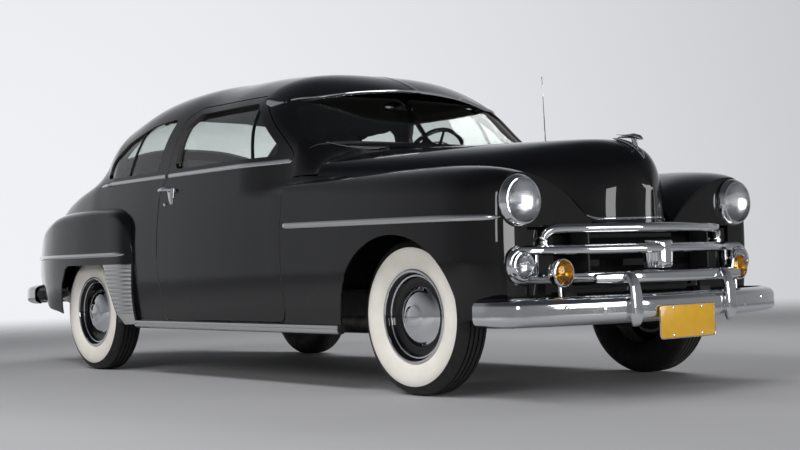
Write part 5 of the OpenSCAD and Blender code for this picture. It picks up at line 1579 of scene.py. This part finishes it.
# Dials, grille bars, knobs and a glove box on the dashboard's face
def dashboard_fittings():
    x = along(0.663)
    bright = []
    faces = []
    for y, z, r in ((300, BELT - 62, 58), (440, BELT - 62, 58), (370, BELT - 108, 30)):
        ring = [(r, 2), (r + 7, 2), (r + 8, -8), (r + 4, -14), (r, -12), (r, 2)]
        bright.append(turned("dial_ring", ring, (x - 10, y, z), "x", 48))
        faces.append(turned("dial_face", [(0, -8), (r, -8), (r + 1, -4)], (x - 10, y, z), "x", 48))
        for k in range(11):
            a = math.radians(-30 + 24 * k)
            tick = [(x - 18.6, y + end * math.cos(a), z + end * math.sin(a)) for end in (r - 14, r - 4)]
            bright.append(tapered("dial_tick", tick, 3, oval(2.4, 2), (1, 0, 0)))
    for k in range(5):
        z = BELT - 30 - 20 * k
        bar = [(x - 12 - k, -110, z), (x - 14 - k, 0, z), (x - 12 - k, 110, z)]
        bright.append(tapered("speaker_bar", bar, 12, oval(7, 8)))
    knob = [(5, 4), (5, -14), (11, -16), (12, -24), (8, -29), (0, -30)]
    for y in (-170, -200, 170, 200):
        bright.append(turned("dash_knob", knob, (x - 8, y, BELT - 120), "x", 28))
    edge = rounded([(-560, BELT - 120), (-260, BELT - 120), (-260, BELT - 16), (-560, BELT - 16)], 18)
    bright.append(swept("glove_frame", [(x - 11, y, z) for y, z in edge], oval(5, 5), (1, 0, 0), None, True))
    settle(joined("dash_bright", bright), chrome, "car", "bright")
    settle(joined("dial_faces", faces), control_gloss, "car", "control")


# Inside mirror on its stalk
def inside_mirror():
    stretch = (1, 3.7, 1)
    middle = (616, 0, 1382)
    path = [(648, 0, 1428), (632, 0, 1404), (622, 0, 1388)]
    stalk = tapered("mirror_stalk", path, 8, oval(9, 9), (1, 0, 0))
    back = turned("mirror_back", [(0, 11), (16, 10), (25, 5), (27, -2), (25, -5)], (0, 0, 0), "x", 48)
    placed(back, stretch, middle)
    settle(joined("inside_mirror", [stalk, back]), control_gloss, "car", "control")
    glazing = turned("mirror_pane", [(25, -5), (24, -6.5), (0, -7)], (0, 0, 0), "x", 48)
    settle(placed(glazing, stretch, middle), reflector, "car", "bright")


# Bulkhead between cabin and engine, with pressed ribs
def bulkhead():
    x = along(0.728)
    half = [(y, z) for y, z in body_half(x, 26) if z > 440]
    wall = prism([(y, z) for _, y, z in full_row(x, half)], "x", x, x + 8)
    wall.name = "bulkhead"
    parts = [wall]
    for z in (560, 640, 720, 800):
        parts.append(swept("bulkhead_rib", [(x + 8, y, z) for y in (-560, 0, 560)], oval(10, 26)))
    settle(joined("bulkhead", parts), under_paint, "car", "under_paint", "cowl")


# Door cards: arm rest, winder and inner handle
def door_cards():
    boss = [(20, -2), (20, 4), (16, 10), (8, 16), (0, 17)]
    for name, side in SIDES:
        def inner(x, z, depth):
            return side * (float(body_half_at(x, z)) - depth)
        rest_path = [(x, inner(x, 780, 62), 780) for x in (-120, -60, 60, 180, 240)]
        rest = tapered("arm_rest", rest_path, 24, rounded_bar(56, 60, 20), (0, 0, 1),
                       (0, 0.15, 0.85, 1), (0.5, 1, 1, 0.5))
        settle(rest, trim_card, "door_" + name, "seat_cloth")
        bright = []
        for x, z, length in ((330, 830, -95), (-210, 900, 80)):
            y = inner(x, z, 34)
            bright.append(turned("inner_boss", boss, (0, 0, 0), "y", 28))
            weld(placed(bright[-1], (1, -side, 1), (x, y, z)))
            arm = [(x, y - side * 13, z), (x + length / 2, y - side * 20, z - 10),
                   (x + length, y - side * 18, z - 16)]
            bright.append(tapered("inner_arm", arm, 12, oval(13, 9), (0, side, 0)))
        settle(joined("door_inner_bright_" + name, bright), chrome, "door_" + name, "bright")


# Boot handle on two feet, with its lock behind it
def boot_fittings():
    x = tail(0.80)
    z = float(column(BODY_CURVES, 4, x))
    foot = [(14, -4), (14, 4), (9, 12), (8, 26), (0, 28)]
    parts = [turned("boot_handle_foot", foot, (x, y, z), "z", 24) for y in (-60, 60)]
    bar = [(x, -78, z + 22), (x, -40, z + 26), (x, 40, z + 26), (x, 78, z + 22)]
    parts.append(tapered("boot_handle_bar", bar, 24, oval(20, 14)))
    lock_place = (x - 44, 0, float(column(BODY_CURVES, 4, x - 44)))
    parts.append(turned("boot_lock", [(13, -4), (13, 5), (10, 9), (0, 10)], lock_place, "z", 24))
    settle(joined("boot_bright", parts), chrome, "boot_lid", "bright")


seats()
steering_wheel()
dashboard_fittings()
inside_mirror()
bulkhead()
door_cards()
boot_fittings()

for node, material in CAD_FINISH.items():
    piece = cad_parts[node]
    if piece.material_slots:
        for each in piece.material_slots:
            each.material = material
    else:
        piece.data.materials.append(material)

# Camera, light and floor
EYE = Vector((6.270, -4.578, 0.561))
YAW = math.radians(141.07)
PITCH = math.radians(1.64)
ROLL = math.radians(-1.67)
SENSOR = 36.0
FOCAL_PIXELS = 1397.5
IMAGE_WIDTH = 800
ahead = Vector((math.cos(YAW) * math.cos(PITCH), math.sin(YAW) * math.cos(PITCH), math.sin(PITCH)))
level = Vector((math.sin(YAW), -math.cos(YAW), 0))
top = level.cross(ahead)
right = level * math.cos(ROLL) + top * math.sin(ROLL)
up = top * math.cos(ROLL) - level * math.sin(ROLL)
lens = bpy.data.cameras.new("camera")
lens.sensor_width = SENSOR
lens.lens = FOCAL_PIXELS / IMAGE_WIDTH * SENSOR
lens.clip_end = 200.0
camera = bpy.data.objects.new("camera", lens)
scene.collection.objects.link(camera)
camera.matrix_world = Matrix((
    (right.x, up.x, -ahead.x, EYE.x), (right.y, up.y, -ahead.y, EYE.y),
    (right.z, up.z, -ahead.z, EYE.z), (0, 0, 0, 1)))
scene.camera = camera


# Soft lights that the camera doesn't see
def soft_light(name, place, target, width, height, power, mirrored):
    light = bpy.data.lights.new(name, "AREA")
    light.shape = "RECTANGLE"
    light.size = width
    light.size_y = height
    light.energy = power
    holder = bpy.data.objects.new(name, light)
    scene.collection.objects.link(holder)
    holder.location = place
    holder.visible_glossy = mirrored
    holder.visible_camera = False
    holder.rotation_euler = (Vector(target) - Vector(place)).to_track_quat("-Z", "Y").to_euler()


soft_light("near_strip", (0.6, -3.4, 4.4), (0.4, -0.6, 0.6), 6.0, 1.1, 190.0, False)
soft_light("far_strip", (-0.8, 3.4, 4.4), (0.0, 0.6, 0.7), 6.0, 1.3, 200.0, False)
soft_light("near_side", (2.6, -7.5, 3.2), (0.4, 0.0, 0.6), 5.0, 2.2, 230.0, False)
soft_light("front", (8.5, 2.2, 1.5), (2.2, 0.0, 0.6), 3.6, 2.4, 170.0, True)
soft_light("edge_strip", (8.8, -4.0, 1.9), (2.0, -0.8, 0.7), 0.9, 2.4, 40.0, True)

# Pale surroundings: brightest behind the tail, dimmer in front and overhead
BRIGHT_SIDE = math.radians(158)
world = bpy.data.worlds.new("studio")
scene.world = world
world.use_nodes = True
sky = world.node_tree
backdrop = sky.nodes["Background"]
direction = add_node(sky, "TexCoord")
split = add_node(sky, "SeparateXYZ")
wire(sky, direction, "Generated", split, "Vector")
lift = add_node(sky, "MapRange", From_Min=-1.0, From_Max=1.0)
wire(sky, split, "Z", lift, "Value")
shade = colour_ramp(sky, (0.60, (0.87, 0.885, 0.91)), (0.88, (0.16, 0.17, 0.20)))
wire(sky, lift, "Result", shade, "Fac")
wire(sky, shade, "Color", backdrop, "Color")
toward = add_node(sky, "VectorMath")
toward.operation = "DOT_PRODUCT"
toward.inputs[1].default_value = (math.cos(BRIGHT_SIDE), math.sin(BRIGHT_SIDE), 0.0)
wire(sky, direction, "Generated", toward, 0)
swing = add_node(sky, "MapRange", From_Min=-1.0, From_Max=1.0)
wire(sky, toward, "Value", swing, "Value")
fall = add_node(sky, "Math")
fall.operation = "POWER"
fall.inputs[1].default_value = 6.0
wire(sky, swing, "Result", fall, 0)
level_of = add_node(sky, "MapRange", To_Min=0.24, To_Max=1.0)
wire(sky, fall, "Value", level_of, "Value")
wire(sky, level_of, "Result", backdrop, "Strength")

# Floor: pale and plain, fading into the surroundings
deselect()
bpy.ops.mesh.primitive_grid_add(x_subdivisions=8, y_subdivisions=8, size=40.0)
floor = bpy.context.object
floor.name = "floor"
floor_finish = new_finish("floor_finish", (0.38, 0.38, 0.39), 0.6)
ground = floor_finish.node_tree
set_inputs(ground.nodes[SHADER], Specular_IOR_Level=0.1)
vary_roughness(floor_finish, 2.0, 0.78, 0.86)
place = add_node(ground, "TexCoord")
reach = add_node(ground, "VectorMath")
reach.operation = "LENGTH"
wire(ground, place, "Object", reach, 0)
fade = add_node(ground, "MapRange", From_Min=4.2, From_Max=12.0)
fade.interpolation_type = "SMOOTHSTEP"
wire(ground, reach, "Value", fade, "Value")
clear = add_node(ground, "BsdfTransparent")
blend = add_node(ground, "MixShader")
wire(ground, fade, "Result", blend, "Fac")
wire(ground, ground.nodes[SHADER], "BSDF", blend, 1)
wire(ground, clear, "BSDF", blend, 2)
wire(ground, blend, "Shader", ground.nodes["Material Output"], "Surface")
floor.data.materials.append(floor_finish)
